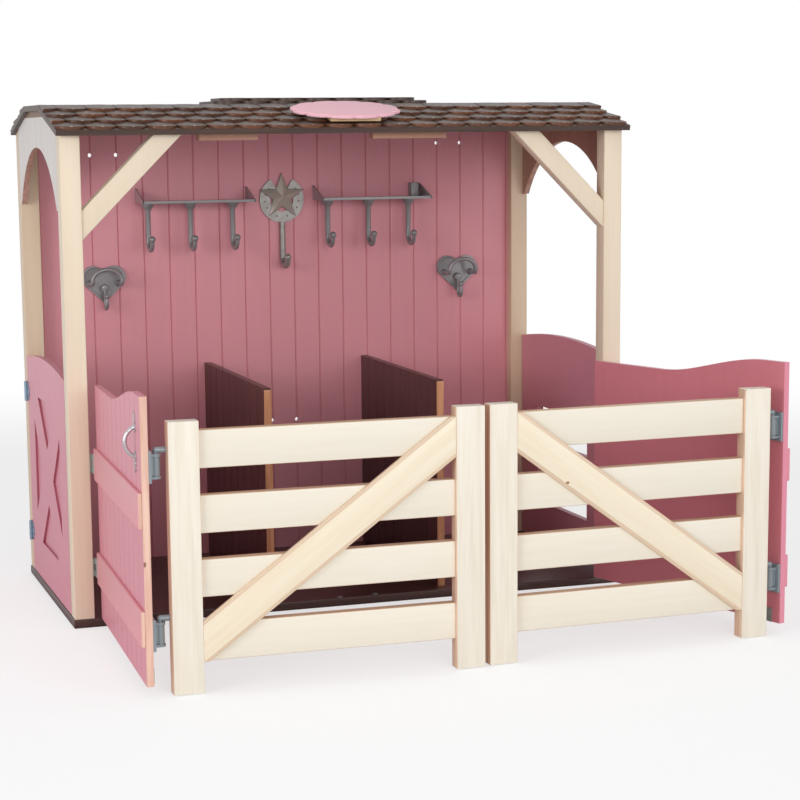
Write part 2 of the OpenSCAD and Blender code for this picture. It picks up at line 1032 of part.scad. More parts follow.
module left_gate_at() {
    left_at()
        translate([pintle_s, pintle_n, 0])
            rotate([0, 0, gate_turn[0]])
                children();
}

module right_gate_at() {
    right_at()
        translate([pintle_s, pintle_n, 0])
            rotate([0, 0, gate_turn[1]])
                children();
}

module left_gate_posts() {
    color("#efe6d2") left_gate_at() gate_posts();
}

module left_gate_rails() {
    color("#efe6d2") left_gate_at() gate_rails();
}

module left_gate_brace() {
    color("#efe6d2") left_gate_at() gate_brace_bar();
}

module left_gate_arms() {
    color("#9d9a9b") left_gate_at() arms();
}

module right_gate_posts() {
    color("#efe6d2") right_gate_at() gate_posts();
}

module right_gate_rails() {
    color("#efe6d2") right_gate_at() gate_rails();
}

module right_gate_brace() {
    color("#efe6d2") right_gate_at() gate_brace_bar();
}

module right_gate_arms() {
    color("#9d9a9b") right_gate_at() arms();
}

base_board();
front_left_post();
front_right_post();
rear_left_post();
rear_right_post();
back_wall();
left_gable();
right_gable();
ridge_beam();
roof_front_board();
roof_top_board();
roof_rear_board();
front_row(1);  // front_shingle_row_1
front_row(2);  // front_shingle_row_2
front_row(3);  // front_shingle_row_3
front_row(4);  // front_shingle_row_4
rear_row(1);  // rear_shingle_row_1
rear_row(2);  // rear_shingle_row_2
rear_row(3);  // rear_shingle_row_3
rear_row(4);  // rear_shingle_row_4
roof_cap_lower();
roof_cap_upper();
plaque_block();
roof_plaque();
eave_cleats();
corner_braces();
left_divider();
right_divider();
left_hook_shelf();
right_hook_shelf();
star_hook();
left_heart_rack();
right_heart_rack();
magnet_catch();
front_hinge_post_leaves();
side_hinge_post_leaves();
left_side_panel();
left_side_hinge_leaves();
right_side_panel();
right_side_hinge_leaves();
left_door_panel();
left_door_battens();
left_door_handle();
left_door_hinge_leaves();
left_door_catch_plate();
left_gate_brackets();
right_door_panel();
right_door_battens();
right_door_handle();
right_door_hinge_leaves();
right_door_catch_plate();
right_gate_brackets();
left_gate_posts();
left_gate_rails();
left_gate_brace();
left_gate_arms();
right_gate_posts();
right_gate_rails();
right_gate_brace();
right_gate_arms();
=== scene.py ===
# %% [markdown]
# # A toy stable barn
# The barn is a painted wooden dolls' stable: cream corner posts, rose pink
# boards, a brown roof of lapped scallop shingles, two front doors that carry
# a pair of cream gates, and a door in each end. Its solids are loaded as a
# fixed frame, and this lesson gives each one its finish and adds the small
# things that a solid model leaves plain.

# %% Load the frame
import json
import math

import bmesh
import bpy
import numpy as np
from mathutils import Matrix, Vector


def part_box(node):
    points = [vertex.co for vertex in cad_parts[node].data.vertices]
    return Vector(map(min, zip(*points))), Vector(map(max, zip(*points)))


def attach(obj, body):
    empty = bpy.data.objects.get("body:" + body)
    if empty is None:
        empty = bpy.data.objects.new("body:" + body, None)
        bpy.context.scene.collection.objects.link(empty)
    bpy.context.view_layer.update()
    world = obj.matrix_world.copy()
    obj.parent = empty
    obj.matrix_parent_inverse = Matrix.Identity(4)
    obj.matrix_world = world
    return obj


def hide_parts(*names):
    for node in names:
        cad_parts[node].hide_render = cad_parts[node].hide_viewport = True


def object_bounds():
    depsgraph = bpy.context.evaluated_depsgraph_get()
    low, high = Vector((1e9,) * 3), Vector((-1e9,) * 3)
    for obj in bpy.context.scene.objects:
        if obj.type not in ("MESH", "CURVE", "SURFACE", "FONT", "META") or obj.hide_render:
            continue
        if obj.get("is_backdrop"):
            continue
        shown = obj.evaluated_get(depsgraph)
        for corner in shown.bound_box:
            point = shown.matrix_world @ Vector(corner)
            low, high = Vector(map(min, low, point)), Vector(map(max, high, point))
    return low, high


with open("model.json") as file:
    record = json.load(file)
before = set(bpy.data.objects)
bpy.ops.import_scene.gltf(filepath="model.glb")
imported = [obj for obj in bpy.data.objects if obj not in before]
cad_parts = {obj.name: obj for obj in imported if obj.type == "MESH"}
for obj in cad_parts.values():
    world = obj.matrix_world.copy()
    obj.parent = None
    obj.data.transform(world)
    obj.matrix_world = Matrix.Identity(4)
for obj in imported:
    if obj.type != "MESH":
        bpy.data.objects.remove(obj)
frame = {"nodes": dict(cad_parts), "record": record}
cad_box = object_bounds()
MM = 0.001
print("solids loaded:", len(frame["nodes"]))

# %% [markdown]
# ## Camera
# The viewing angle was worked out from the barn's straight edges: it looks from
# 18.5 degrees to the left of square on, at about the height of the roof. The lens
# is long, so the gates look only a little larger than the posts. The small shift
# puts the lens's axis where the picture has it.

# %% Camera
EYE = (-0.688006, -2.322024, 0.535958)
YAW, PITCH, ROLL = 0.32302, 0.15357, -0.00961
FOCAL_PX, CENTRE_PX = 2033.0988, (388.50471, 445.41814)
FRAME_PX, SENSOR_MM = 800, 36

forward = Vector((math.sin(YAW) * math.cos(PITCH), math.cos(YAW) * math.cos(PITCH), -math.sin(PITCH)))
level = Vector((math.cos(YAW), -math.sin(YAW), 0))
upright = level.cross(forward)
right = level * math.cos(ROLL) + upright * math.sin(ROLL)
up = upright * math.cos(ROLL) - level * math.sin(ROLL)
camera = bpy.data.objects.new("camera", bpy.data.cameras.new("camera"))
bpy.context.scene.collection.objects.link(camera)
camera.matrix_world = Matrix((
    (right.x, up.x, -forward.x, EYE[0]),
    (right.y, up.y, -forward.y, EYE[1]),
    (right.z, up.z, -forward.z, EYE[2]),
    (0, 0, 0, 1),
))
camera.data.sensor_width = SENSOR_MM
camera.data.lens = FOCAL_PX * SENSOR_MM / FRAME_PX
camera.data.shift_x = (FRAME_PX / 2 - CENTRE_PX[0]) / FRAME_PX
camera.data.shift_y = (CENTRE_PX[1] - FRAME_PX / 2) / FRAME_PX
bpy.context.scene.camera = camera
bpy.context.scene.view_settings.view_transform = "Standard"
print("lens in mm:", round(camera.data.lens, 2))

# %% [markdown]
# ## Shader maths as plain expressions
# A finish is a small sum: more brown in the grooves, a lighter lip, a soft
# grain. Written with nodes alone it would be long, so a small class wraps a
# socket and lets +, - and * add the Math nodes.


# %% Shader maths
class Value:
    """A number that changes over a surface."""

    def __init__(self, finish, socket):
        self.finish, self.socket = finish, socket

    def math(self, operation, other, swap=False):
        """Adds a Math node on this and `other`; `swap` puts `other` first."""
        pair = (other, self) if swap else (self, other)
        return self.finish.node("ShaderNodeMath", {"operation": operation}, *pair)

    def __add__(self, other):
        return self.math("ADD", other)

    __radd__ = __add__

    def __sub__(self, other):
        return self.math("SUBTRACT", other)

    def __rsub__(self, other):
        return self.math("SUBTRACT", other, True)

    def __mul__(self, other):
        return self.math("MULTIPLY", other)

    __rmul__ = __mul__

    def __abs__(self):
        return self.math("ABSOLUTE", 0)

    def above(self, other):
        """1 where this is larger than `other`, else 0."""
        return self.math("GREATER_THAN", other)

    def least(self, other):
        """The smaller of the two."""
        return self.math("MINIMUM", other)

    def most(self, other):
        """The larger of the two."""
        return self.math("MAXIMUM", other)

    def repeat(self, other):
        """What is left after whole steps of `other`, never negative."""
        return self.math("FLOORED_MODULO", other)

    def ease(self, low, high):
        """0 below low, 1 above high, smooth between."""
        settings = {"interpolation_type": "SMOOTHSTEP"}
        return self.finish.node("ShaderNodeMapRange", settings, self, low, high, 0, 1)


print("shader maths ready:", Value.__doc__)

# %% [markdown]
# ## A material as an object
# The second class owns one material. Its node() method adds any kind of node
# and fills the sockets with numbers, colours or links alike. The methods after
# it name the few groups of nodes that nearly every finish of the barn repeats.


# %% A material as an object
def linear(red, green, blue):
    """A screen colour from 0 to 255 as the linear colour that light works in."""
    parts = [c / 255 for c in (red, green, blue)]
    return tuple(c / 12.92 if c <= 0.04045 else ((c + 0.055) / 1.055) ** 2.4 for c in parts) + (1,)


class Finish:
    """One material, made with node() and ended with surface()."""

    def __init__(self, name):
        self.material = bpy.data.materials.new(name)
        self.material.use_nodes = True
        self.tree = self.material.node_tree
        self.tree.nodes.clear()
        self.place = self.node("ShaderNodeTexCoord", {}, out="Object")
        split = self.node("ShaderNodeSeparateXYZ", {}, self.place).socket.node
        self.x, self.y, self.z = (Value(self, socket) for socket in split.outputs)

    def node(self, kind, settings, *inputs, at=(), out=0, **named):
        """Adds a node. Sockets are filled in order, by number with `at`, or by name."""
        made = self.tree.nodes.new(kind)
        for key, value in settings.items():
            setattr(made, key, value)
        by_name = [(key.replace("_", " "), value) for key, value in named.items()]
        for key, value in list(enumerate(inputs)) + list(at) + by_name:
            if isinstance(value, Value):
                self.tree.links.new(value.socket, made.inputs[key])
            else:
                made.inputs[key].default_value = value
        return Value(self, made.outputs[out]) if len(made.outputs) else None

    def along(self, spread, turn=(0, 0, 0)):
        """Object coordinates turned, then scaled by `spread` on each axis."""
        turned = self.node("ShaderNodeMapping", {}, self.place, Rotation=turn)
        return self.node("ShaderNodeMapping", {}, turned, Scale=spread)

    def noise(self, where, size, detail, rough):
        """Cloudy number between 0 and 1, on average a half."""
        return self.node("ShaderNodeTexNoise", {}, Vector=where, Scale=size, Detail=detail, Roughness=rough)

    def grain(self, spread, turn=(0, 0, 0)):
        """Noise drawn out into streaks along the axis where `spread` is small."""
        return self.noise(self.along(spread, turn), 1, 4, 0.6)

    def mix(self, amount, first, second, kind="MIX"):
        """Colour from first to second. Several sockets of this node share a name, so they go by number."""
        settings = {"data_type": "RGBA", "blend_type": kind}
        return self.node("ShaderNodeMix", settings, at=((0, amount), (6, first), (7, second)), out=2)

    def toned(self, colour, tone):
        """The colour with its red, green and blue all multiplied by the number `tone`."""
        grey = self.node("ShaderNodeCombineColor", {}, tone, tone, tone)
        return self.mix(1.0, colour, grey, "MULTIPLY")

    def ray(self, kind):
        """1 where a Camera, Glossy or Transmission ray looks, else 0."""
        return self.node("ShaderNodeLightPath", {}, out=f"Is {kind} Ray")

    def surface(self, colour, rough, height, lift, metal=0.0, coat=0.0, coat_rough=0.2, spec=0.5):
        """Ends the material. `height` from 0 to 1 seems to lift the surface by `lift` metres."""
        normal = self.node("ShaderNodeBump", {}, Strength=1.0, Distance=lift, Height=height)
        shader = self.node(
            "ShaderNodeBsdfPrincipled", {}, Base_Color=colour, Roughness=rough, Metallic=metal,
            Coat_Weight=coat, Coat_Roughness=coat_rough, Specular_IOR_Level=spec, Normal=normal,
        )
        self.node("ShaderNodeOutputMaterial", {}, shader)
        return self.material

    def satin(self, colour, grain, rough=0.42, lift=0.00012, coat=0.0):
        """Ends a painted or stained board, whose grain changes its gloss and lifts it by a hair."""
        return self.surface(colour, rough + (grain - 0.5) * 0.2, grain, lift, coat=coat)


print("mid grey as linear light:", round(linear(128, 128, 128)[0], 3))

# %% [markdown]
# ## Painted wood
# Most of the barn is board painted in a satin coat thin enough to show a
# little of the grain as long soft streaks. One function makes every such
# finish: a streaked noise stretched along the grain shifts the colour by a
# few hundredths and lifts the surface by a hair. Where a board has V grooves,
# a thin darker line of painted shade follows them.


# %% Painted wood
# how tight the grain is along x, y and z: it is drawn out where the number is small
UPRIGHT, ACROSS, DEEP = (170, 170, 9), (9, 170, 170), (170, 9, 170)


def painted(name, colour, grain=UPRIGHT, streak=0.12, rough=0.42, grooves=None):
    """Satin paint over grain. `grooves` is (pitch, half width, share of painted shade) of upright lines."""
    f = Finish(name)
    fine = f.grain(grain)
    broad = f.noise(f.place, 9, 2, 0.5)
    paint = f.toned(colour, 1 + (fine - 0.5) * streak + (broad - 0.5) * 0.06)
    if grooves:
        pitch, half_width, groove_shade = grooves
        # the lines lie half a step to each side of the middle, and then at whole steps
        away = abs(f.x.repeat(pitch) - pitch / 2)
        line = 1 - away.ease(half_width * 0.3, half_width)
        # painted shade: a thin darker line along each groove
        paint = f.mix(line * groove_shade, paint, tuple(c * 0.35 for c in colour[:3]) + (1,))
    return f.satin(paint, fine, rough)


WALL_PITCH = 0.03184
ROSE, ROSE_DEEP = linear(232, 156, 170), linear(216, 129, 140)
cream = painted("cream_paint", linear(240, 222, 197))
rear_cream = painted("rear_post_paint", linear(230, 204, 175))
wall_rose = painted("wall_paint", linear(224, 147, 158), streak=0.08, grooves=(WALL_PITCH, 0.0011, 0.14))
print("paints made:", cream.name, rear_cream.name, wall_rose.name)

# %% [markdown]
# ## The brown woods
# The base and the stall dividers are stained dark brown with a low sheen, and
# the roof boards a duller brown. The ridge beam and the cleats under the eave
# are a lighter brown without varnish, and the sign's block is bare pale wood.


# %% Brown woods and bare wood
def stained(name, dark, pale, grain, rough=0.38, coat=0.25):
    """Stain that varies with the grain between two browns, under thin varnish."""
    f = Finish(name)
    fine = f.noise(f.along(grain), 1, 5, 0.65)
    broad = f.noise(f.place, 14, 3, 0.55)
    amount = fine.ease(0.35, 0.75) * 0.6 + broad * 0.4
    return f.satin(f.mix(amount, dark, pale), fine, rough, 0.00018, coat)


base_brown = stained("base_brown", linear(58, 32, 26), linear(80, 48, 39), ACROSS)
board_brown = stained("roof_board_brown", linear(56, 38, 31), linear(84, 60, 49), ACROSS, 0.46, 0.08)
beam_brown = stained("beam_brown", linear(122, 92, 74), linear(150, 116, 92), DEEP, 0.5, 0.0)
cleat_wood = stained("cleat_wood", linear(164, 116, 96), linear(190, 144, 120), ACROSS, 0.55, 0.0)
bare_wood = stained("bare_wood", linear(222, 184, 136), linear(238, 209, 166), ACROSS, 0.55, 0.0)


def divider_finish(front):
    """Stained boards with a bare front edge, which lies at depth `front` in metres."""
    f = Finish("divider_brown")
    fine = f.noise(f.along(UPRIGHT), 1, 5, 0.65)
    stain = f.mix(fine.ease(0.35, 0.75), linear(76, 43, 40), linear(100, 62, 56))
    bare = f.mix(fine.ease(0.3, 0.7), linear(176, 116, 78), linear(214, 156, 112))
    edge = 1 - f.y.ease(front + 0.0004, front + 0.0010)
    return f.satin(f.mix(edge, stain, bare), fine, 0.42, 0.00018, 0.15)


divider_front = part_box("left_divider")[0][1]
divider_brown = divider_finish(divider_front)
print("dividers' bare edge at y in mm:", round(divider_front / MM, 1))

# %% [markdown]
# ## Plastic and metal
# Shelves, racks, gate hinges and brackets are moulded in mid grey plastic
# with a faint pebbled skin. The star, the bow pulls and the plates are cast
# metal with soft scratches, and the end door hinges have a blue cast.


# %% Plastic and metal
def moulded(name, colour, rough):
    """Grey plastic with a fine pebbled skin and slight clouding, under a glossy coat."""
    f = Finish(name)
    skin = f.noise(f.place, 900, 2, 0.5)
    cloud = f.noise(f.place, 40, 2, 0.5)
    paint = f.toned(colour, 1 + (cloud - 0.5) * 0.14)
    return f.surface(paint, rough + (cloud - 0.5) * 0.15, skin, 0.00006, coat=0.9, coat_rough=0.12)


def cast(name, colour, rough, metal):
    """Cast metal: fine scratches change the roughness, a cloud the colour."""
    f = Finish(name)
    scratches = f.noise(f.along((900, 900, 60)), 1, 2, 0.6)
    cloud = f.noise(f.place, 120, 3, 0.6)
    paint = f.toned(colour, 1 + (cloud - 0.5) * 0.3)
    return f.surface(paint, rough + (scratches - 0.5) * 0.25, cloud, 0.00008, metal=metal)


grey_plastic = moulded("grey_plastic", linear(132, 128, 130), 0.32)
hinge_grey = moulded("hinge_grey", linear(132, 142, 148), 0.30)
bright_steel = cast("bright_steel", linear(196, 194, 196), 0.26, 0.85)
knuckle_steel = cast("knuckle_steel", linear(150, 162, 156), 0.32, 0.5)
blue_silver = cast("blue_silver", linear(148, 168, 186), 0.34, 0.6)

# the star's back and the horseshoe's front share one upright plane, 3 mm before the wall
STAR_BACK, STAR_FOOT = 0.144, 0.4275


def star_finish():
    """Grey cast metal, drawn paler on the star in front as a painted highlight, and dark with painted shade at
    the wall.
    """
    f = Finish("star_metal")
    cloud = f.noise(f.place, 120, 3, 0.6)
    grey = f.mix(cloud.ease(0.3, 0.7), linear(136, 132, 128), linear(160, 156, 151))
    # painted highlight: the star in front is drawn paler than the same cast metal behind it
    star = (1 - f.y.ease(STAR_BACK - 0.0008, STAR_BACK - 0.0003)) * f.z.above(STAR_FOOT)
    grey = f.mix(star, grey, linear(206, 196, 186))
    # painted shade behind the horseshoe's front: in its dimples and on its sides
    shade = f.y.ease(STAR_BACK + 0.0003, STAR_BACK + 0.0008) * 0.75
    grey = f.mix(shade, grey, linear(74, 66, 63))
    return f.surface(grey, 0.34 + (cloud - 0.5) * 0.15, cloud, 0.00006, metal=0.35, coat=0.2)


star_metal = star_finish()
# the height printed here is where the star's painted highlight begins
print("star rubbed pale above z in mm:", round(STAR_FOOT / MM, 1))


# %% [markdown]
# ## Worn roof shingles
# Each shingle is a thin tile with a round lower end. It lies on the row
# below, so its lip stands off by about 3 mm. The lip is a warmer brown, partly
# its own colour and partly a painted highlight, and a small painted glint sits
# in the middle of each lip. The finish reads three numbers that are stored on
# the tiles when they are made: a tone for each tile, how near a point is to the
# lip, and where it is across the tile.


# %% Shingle finish
def shingle_finish():
    """Brown varnish for each tile's own tone, worn at the lip, whose warmer brown is partly a painted highlight,
    with a painted glint in the lip's middle.
    """
    f = Finish("shingle_brown")
    tone, lip, side = (f.node("ShaderNodeAttribute", {"attribute_name": name}, out="Fac")
                       for name in ("tone", "lip", "side"))
    grain = f.grain((330, 40, 40))
    fleck = f.noise(f.place, 260, 3, 0.7)
    brown = f.mix(tone * 0.5 + grain * 0.5, linear(52, 36, 29), linear(92, 66, 53))
    # the lip's warmer brown is partly its own colour and partly a painted highlight along it
    edge = lip.ease(0.96, 0.998)
    brown = f.mix(edge * (0.2 + tone * 0.6), brown, linear(124, 74, 48))
    rubbed = lip.ease(0.9, 0.98) * fleck.ease(0.5, 0.7)
    brown = f.mix(rubbed * 0.3, brown, linear(140, 92, 64))
    # painted glint: a pale dot at the middle of each lip
    band = lip.ease(0.95, 0.975) * (1 - lip.ease(0.992, 0.999))
    lip_glint = band * (1 - abs(side).ease(0.03, 0.12)) * fleck.ease(0.3, 0.5)
    brown = f.mix(lip_glint * 0.75, brown, linear(214, 198, 184))
    height = grain * 0.6 + fleck * 0.4
    return f.surface(brown, 0.42 + (grain - 0.5) * 0.25, height, 0.00025, coat=0.12, spec=0.3)


shingle_brown = shingle_finish()
print("shingle finish made:", shingle_brown.name)


# %% [markdown]
# ## Meshes from arrays
# A new piece is worked out as a whole grid of points with numpy. The helper
# joins the faces of any number of grids into one mesh, and keeps numbers
# that a finish may want at each point.


# %% Mesh helpers
def grid_faces(rows, columns, start=0):
    """Four-sided faces between neighbours of a rows x columns grid of points."""
    i, j = np.meshgrid(np.arange(rows - 1), np.arange(columns - 1), indexing="ij")
    a = start + i * columns + j
    return np.stack([a, a + 1, a + columns + 1, a + columns], axis=-1).reshape(-1, 4)


def mesh_piece(name, points, faces, material, body, numbers=()):
    """A smooth piece of one material that rides on a body; `numbers` are (name, value per point)."""
    mesh = bpy.data.meshes.new(name)
    mesh.from_pydata(points.tolist(), [], [tuple(map(int, f)) for f in faces])
    for key, values in numbers:
        layer = mesh.attributes.new(key, "FLOAT", "POINT")
        layer.data.foreach_set("value", np.asarray(values, dtype=np.float32))
    mesh.validate()
    mesh.update()
    mesh.polygons.foreach_set("use_smooth", [True] * len(mesh.polygons))
    mesh.materials.append(material)
    piece = bpy.data.objects.new(name, mesh)
    bpy.context.scene.collection.objects.link(piece)
    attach(piece, body)
    return piece


print("faces between 4 x 3 points:", len(grid_faces(4, 3)))


# %% [markdown]
# ## Laying the shingles
# A tile is a grid over (across, down). Its lower end is the arc of an 18 mm
# circle, so the length at a place across the tile is the tip less the arc's
# drop. The top rises off the roof board with the length, is a little crowned,
# and rolls over at the lip and at both sides, which leaves the fine dark
# joint between neighbours. The underside follows the row below.

# %% One shingle
# millimetres: the roof's width, the flat top's half depth, its height, and the slope's angle
ROOF_W, FLAT_HALF, ROOF_TOP, SLOPE = 662.0, 50.0, 567.5, math.radians(13.5)
TILE_LEN, TILE_R, TILES, TILT, EDGE = 36.0, 18.0, 20, 0.108, 0.4
PITCH = ROOF_W / TILES
# how far the lowest row's lips lie from the middle
EAVES = {"front": 166.0, "rear": 162.0}
# how far a tile rolls over at the lip and sides, how long the lip's roll is, and its least thickness
LIP_ROLL, SIDE_ROLL, ROLL_LEN, THIN = 0.55, 0.55, 0.9, 0.12


def tile(centre, left, right_side, upper, lap, last, draw):
    """Points (x, s, h) of one closed tile between across-values left and right_side.

    s = upper + down * (tip - arc drop - upper), h = edge + tilt * (s - upper)
    less a sixth-power roll and a low crown at the sides, a quarter-circle roll
    at the lip, and up to 0.25 mm each of sinking and leaning from `draw`.
    """
    half = PITCH / 2
    u = np.linspace(left, right_side, 15 if right_side - left > 1.5 else 9)
    v = np.concatenate([np.linspace(0, 0.9, 7), [0.95, 0.975, 0.99, 1.0]])
    v, u = np.meshgrid(v, u, indexing="ij")
    x = centre + u * (half - 0.25)
    tip = upper + TILE_LEN
    length = tip - TILE_R + np.sqrt(TILE_R**2 - (u * half) ** 2)
    s = upper + v * (length - upper)
    from_lip = length - s
    roll = LIP_ROLL * (1 - np.sqrt(1 - np.clip(1 - from_lip / ROLL_LEN, 0, 1) ** 2))
    h = EDGE + TILT * (s - upper) - roll - SIDE_ROLL * np.abs(u) ** 6 - 0.25 * u**2
    h = h - 0.25 * draw[0] - 0.25 * draw[1] * (1 + u) * v
    under = np.zeros_like(s) if last else np.maximum(0, TILT * (s - upper - lap) - 0.15)
    under = np.minimum(under, h - THIN)
    h = np.maximum(h, THIN)
    return np.stack([x, s, h], axis=-1), np.stack([x, s, under], axis=-1), u, v


def tile_faces(rows, columns, start):
    """Faces of a closed tile: its top, its underside, and a strip round each of the four sides."""
    count = rows * columns
    i, j = np.arange(rows - 1), np.arange(columns - 1)
    near = start + j
    far = near + (rows - 1) * columns
    west = start + i * columns
    east = west + columns - 1
    return [
        grid_faces(rows, columns, start),
        grid_faces(rows, columns, start + count)[:, ::-1],
        np.stack([near, near + count, near + count + 1, near + 1], axis=-1),
        np.stack([far + 1, far + count + 1, far + count, far], axis=-1),
        np.stack([west + columns, west + columns + count, west + count, west], axis=-1),
        np.stack([east, east + count, east + columns + count, east + columns], axis=-1),
    ]


sample = tile(0.0, -1.0, 1.0, 0.0, TILE_LEN, False, (0, 0))[0]
print("one tile in mm, across and down:", np.ptp(sample.reshape(-1, 3), axis=0)[:2].round(1).tolist())

# %% [markdown]
# ## Rows of tiles
# A row is twenty tiles, or nineteen and a half tile at each end, so that the
# joints of a row lie over the middles of the row below. Each tile sinks and
# leans by its own hair and has its own tone. They come from a generator with a
# fixed seed, so the roof is the same each time.


# %% Rows of tiles
def on_slope(side, points):
    """Places in metres of points x along, s down and h off a slope, turned round for the rear one."""
    x, s, h = points.T
    y = -FLAT_HALF - s * math.cos(SLOPE) - h * math.sin(SLOPE)
    z = ROOF_TOP - s * math.sin(SLOPE) + h * math.cos(SLOPE)
    if side == "rear":
        x, y = -x, -y
    return np.stack([x, y, z], axis=-1) * MM


def shingle_row(side, k):
    """Row k from the top: odd rows start with half a tile, so the joints lie in half bond."""
    rng = np.random.default_rng(100 * k + (7 if side == "rear" else 3))
    slope_len = (EAVES[side] - FLAT_HALF) / math.cos(SLOPE)
    lap = (slope_len + 0.6 - TILE_LEN) / 3
    upper = (k - 1) * lap
    shifted = k % 2 == 1
    places = [(-ROOF_W / 2 + (i + (0 if shifted else 0.5)) * PITCH) for i in range(TILES + shifted)]
    points, faces, tones, lips, sides = [], [], [], [], []
    start = 0
    for n, x in enumerate(places):
        left = 0.015 if shifted and n == 0 else -1.0
        right_side = -0.015 if shifted and n == TILES else 1.0
        top, low, u, v = tile(x, left, right_side, upper, lap, k == 4, rng.random(2))
        points += [top.reshape(-1, 3), low.reshape(-1, 3)]
        faces += tile_faces(*u.shape, start)
        tones.append(np.full(2 * u.size, rng.random()))
        lips.append(np.tile(v.ravel(), 2))
        sides.append(np.tile(u.ravel(), 2))
        start += 2 * u.size
    numbers = [(name, np.concatenate(rows)) for name, rows in (("tone", tones), ("lip", lips), ("side", sides))]
    places = on_slope(side, np.concatenate(points))
    # the slope's own axes are left-handed, so the faces are turned round
    faces = np.concatenate(faces)[:, ::-1]
    piece = mesh_piece(f"{side}_tiles_{k}", places, faces, shingle_brown, "barn", numbers)
    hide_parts(f"{side}_shingle_row_{k}")
    return piece


tiles = [shingle_row(side, k) for side in EAVES for k in (1, 2, 3, 4)]
for piece in tiles:
    crisp = piece.modifiers.new("crisp", "EDGE_SPLIT")
    crisp.split_angle = math.radians(38)
print("tiles laid in rows:", len(tiles))


# %% [markdown]
# ## Boards with eased edges
# Real boards are sanded, so every long edge catches a thin line of light.
# A copy of each solid is merged, and a small two-step bevel rounds its edges.
# The solid itself is left as it is, and the copy stands for it.


# %% Eased boards
def body_of_node(node):
    """Name of the body that carries a node."""
    return next(b for b, nodes in frame["record"]["behaviour"]["bodies"].items() if node in nodes)


def round_edges(piece, width):
    """Two-step bevel, `width` millimetres wide, on every edge sharper than 35 degrees."""
    bevel = piece.modifiers.new("eased", "BEVEL")
    bevel.width = width * MM
    bevel.segments = 2
    bevel.limit_method = "ANGLE"
    bevel.angle_limit = math.radians(35)
    bevel.harden_normals = True


def eased(node, material, width):
    """Copy of a solid with its edges rounded by `width` millimetres."""
    work = bmesh.new()
    work.from_mesh(frame["nodes"][node].data)
    bmesh.ops.remove_doubles(work, verts=work.verts, dist=1e-6)
    bmesh.ops.dissolve_limit(work, angle_limit=math.radians(1), verts=work.verts, edges=work.edges)
    mesh = bpy.data.meshes.new(node + "_eased")
    work.to_mesh(mesh)
    work.free()
    mesh.materials.clear()
    mesh.materials.append(material)
    mesh.polygons.foreach_set("material_index", [0] * len(mesh.polygons))
    mesh.polygons.foreach_set("use_smooth", [True] * len(mesh.polygons))
    piece = bpy.data.objects.new(node + "_eased", mesh)
    bpy.context.scene.collection.objects.link(piece)
    round_edges(piece, width)
    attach(piece, body_of_node(node))
    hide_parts(node)


def finish_node(node, material):
    """Gives a solid that stays a better material."""
    mesh = frame["nodes"][node].data
    mesh.materials.clear()
    mesh.materials.append(material)


for corner in ("front_left", "front_right", "rear_left", "rear_right"):
    eased(corner + "_post", rear_cream if "rear" in corner else cream, 0.9)
eased("corner_braces", cream, 0.8)
eased("base_board", base_brown, 1.0)
print("posts, corner braces and base eased")

# %% [markdown]
# ## End doors and gables
# An end door is one board, with triangles sunk in the left door and windows cut
# through the right one. The walls of these hollows carry painted shade, a deeper
# rose than the face. A gable is painted white outside and left brown inside.
# Both finishes tell a face by how far it is off the middle plane.

# %% End door and gable paint
POCKET = 0.003
# the hollows lie within these soft edges, in metres: either side of the middle, low and high
HOLLOW_Y, HOLLOW_LOW, HOLLOW_HIGH = (0.095, 0.097), (0.045, 0.047), (0.233, 0.236)


def skins(node):
    """Distances of a node's inner and outer face from the barn's middle plane."""
    low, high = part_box(node)
    return sorted((abs(low[0]), abs(high[0])))


def end_door_finish(side):
    """Rose paint, with a deeper rose of painted shade on the walls that run from the outer face into a panel or
    window.
    """
    f = Finish(side + "_end_door_paint")
    inner, outer = skins(side + "_side_panel")
    floor = outer - POCKET if side == "left" else inner
    fine = f.grain(UPRIGHT)
    broad = f.noise(f.place, 9, 2, 0.5)
    tone = 1 + (fine - 0.5) * 0.09 + (broad - 0.5) * 0.06
    depth = abs(f.x)
    wall = depth.ease(floor + 0.0001, floor + 0.0004) * (1 - depth.ease(outer - 0.0004, outer - 0.0001))
    within = (1 - abs(f.y).ease(*HOLLOW_Y)) * f.z.ease(*HOLLOW_LOW) * (1 - f.z.ease(*HOLLOW_HIGH))
    # painted shade: the walls of the hollows turn a deeper rose
    paint = f.mix(wall * within * 0.8, linear(227, 151, 166), linear(150, 70, 84))
    return f.satin(f.toned(paint, tone), fine)


def gable_finish(side):
    """White paint outside, a warm stained edge round the arch, rose brown inside."""
    f = Finish(side + "_gable_paint")
    inner, outer = skins(side + "_gable")
    fine = f.grain(UPRIGHT)
    white = f.mix(fine.ease(0.3, 0.75), linear(226, 218, 213), linear(238, 233, 229))
    edge = f.mix(fine.ease(0.35, 0.7), linear(184, 136, 120), linear(208, 166, 148))
    inside = f.mix(fine.ease(0.35, 0.7), linear(180, 136, 118), linear(188, 146, 128))
    depth = abs(f.x)
    paint = f.mix(depth.ease(outer - 0.0007, outer - 0.0002), edge, white)
    paint = f.mix(1 - depth.ease(inner + 0.0002, inner + 0.0007), paint, inside)
    return f.surface(paint, 0.5, fine, 0.0001)


for side in ("left", "right"):
    finish_node(side + "_gable", gable_finish(side))
    finish_node(side + "_divider", divider_brown)
    finish_node(side + "_side_panel", end_door_finish(side))
print("end doors, gables and dividers finished")

# %% [markdown]
# ## Solids that stay
# Boards, caps, hinge leaves and plates already have their real form, with crisp
# edges as cut or stamped, so they only get their finish.

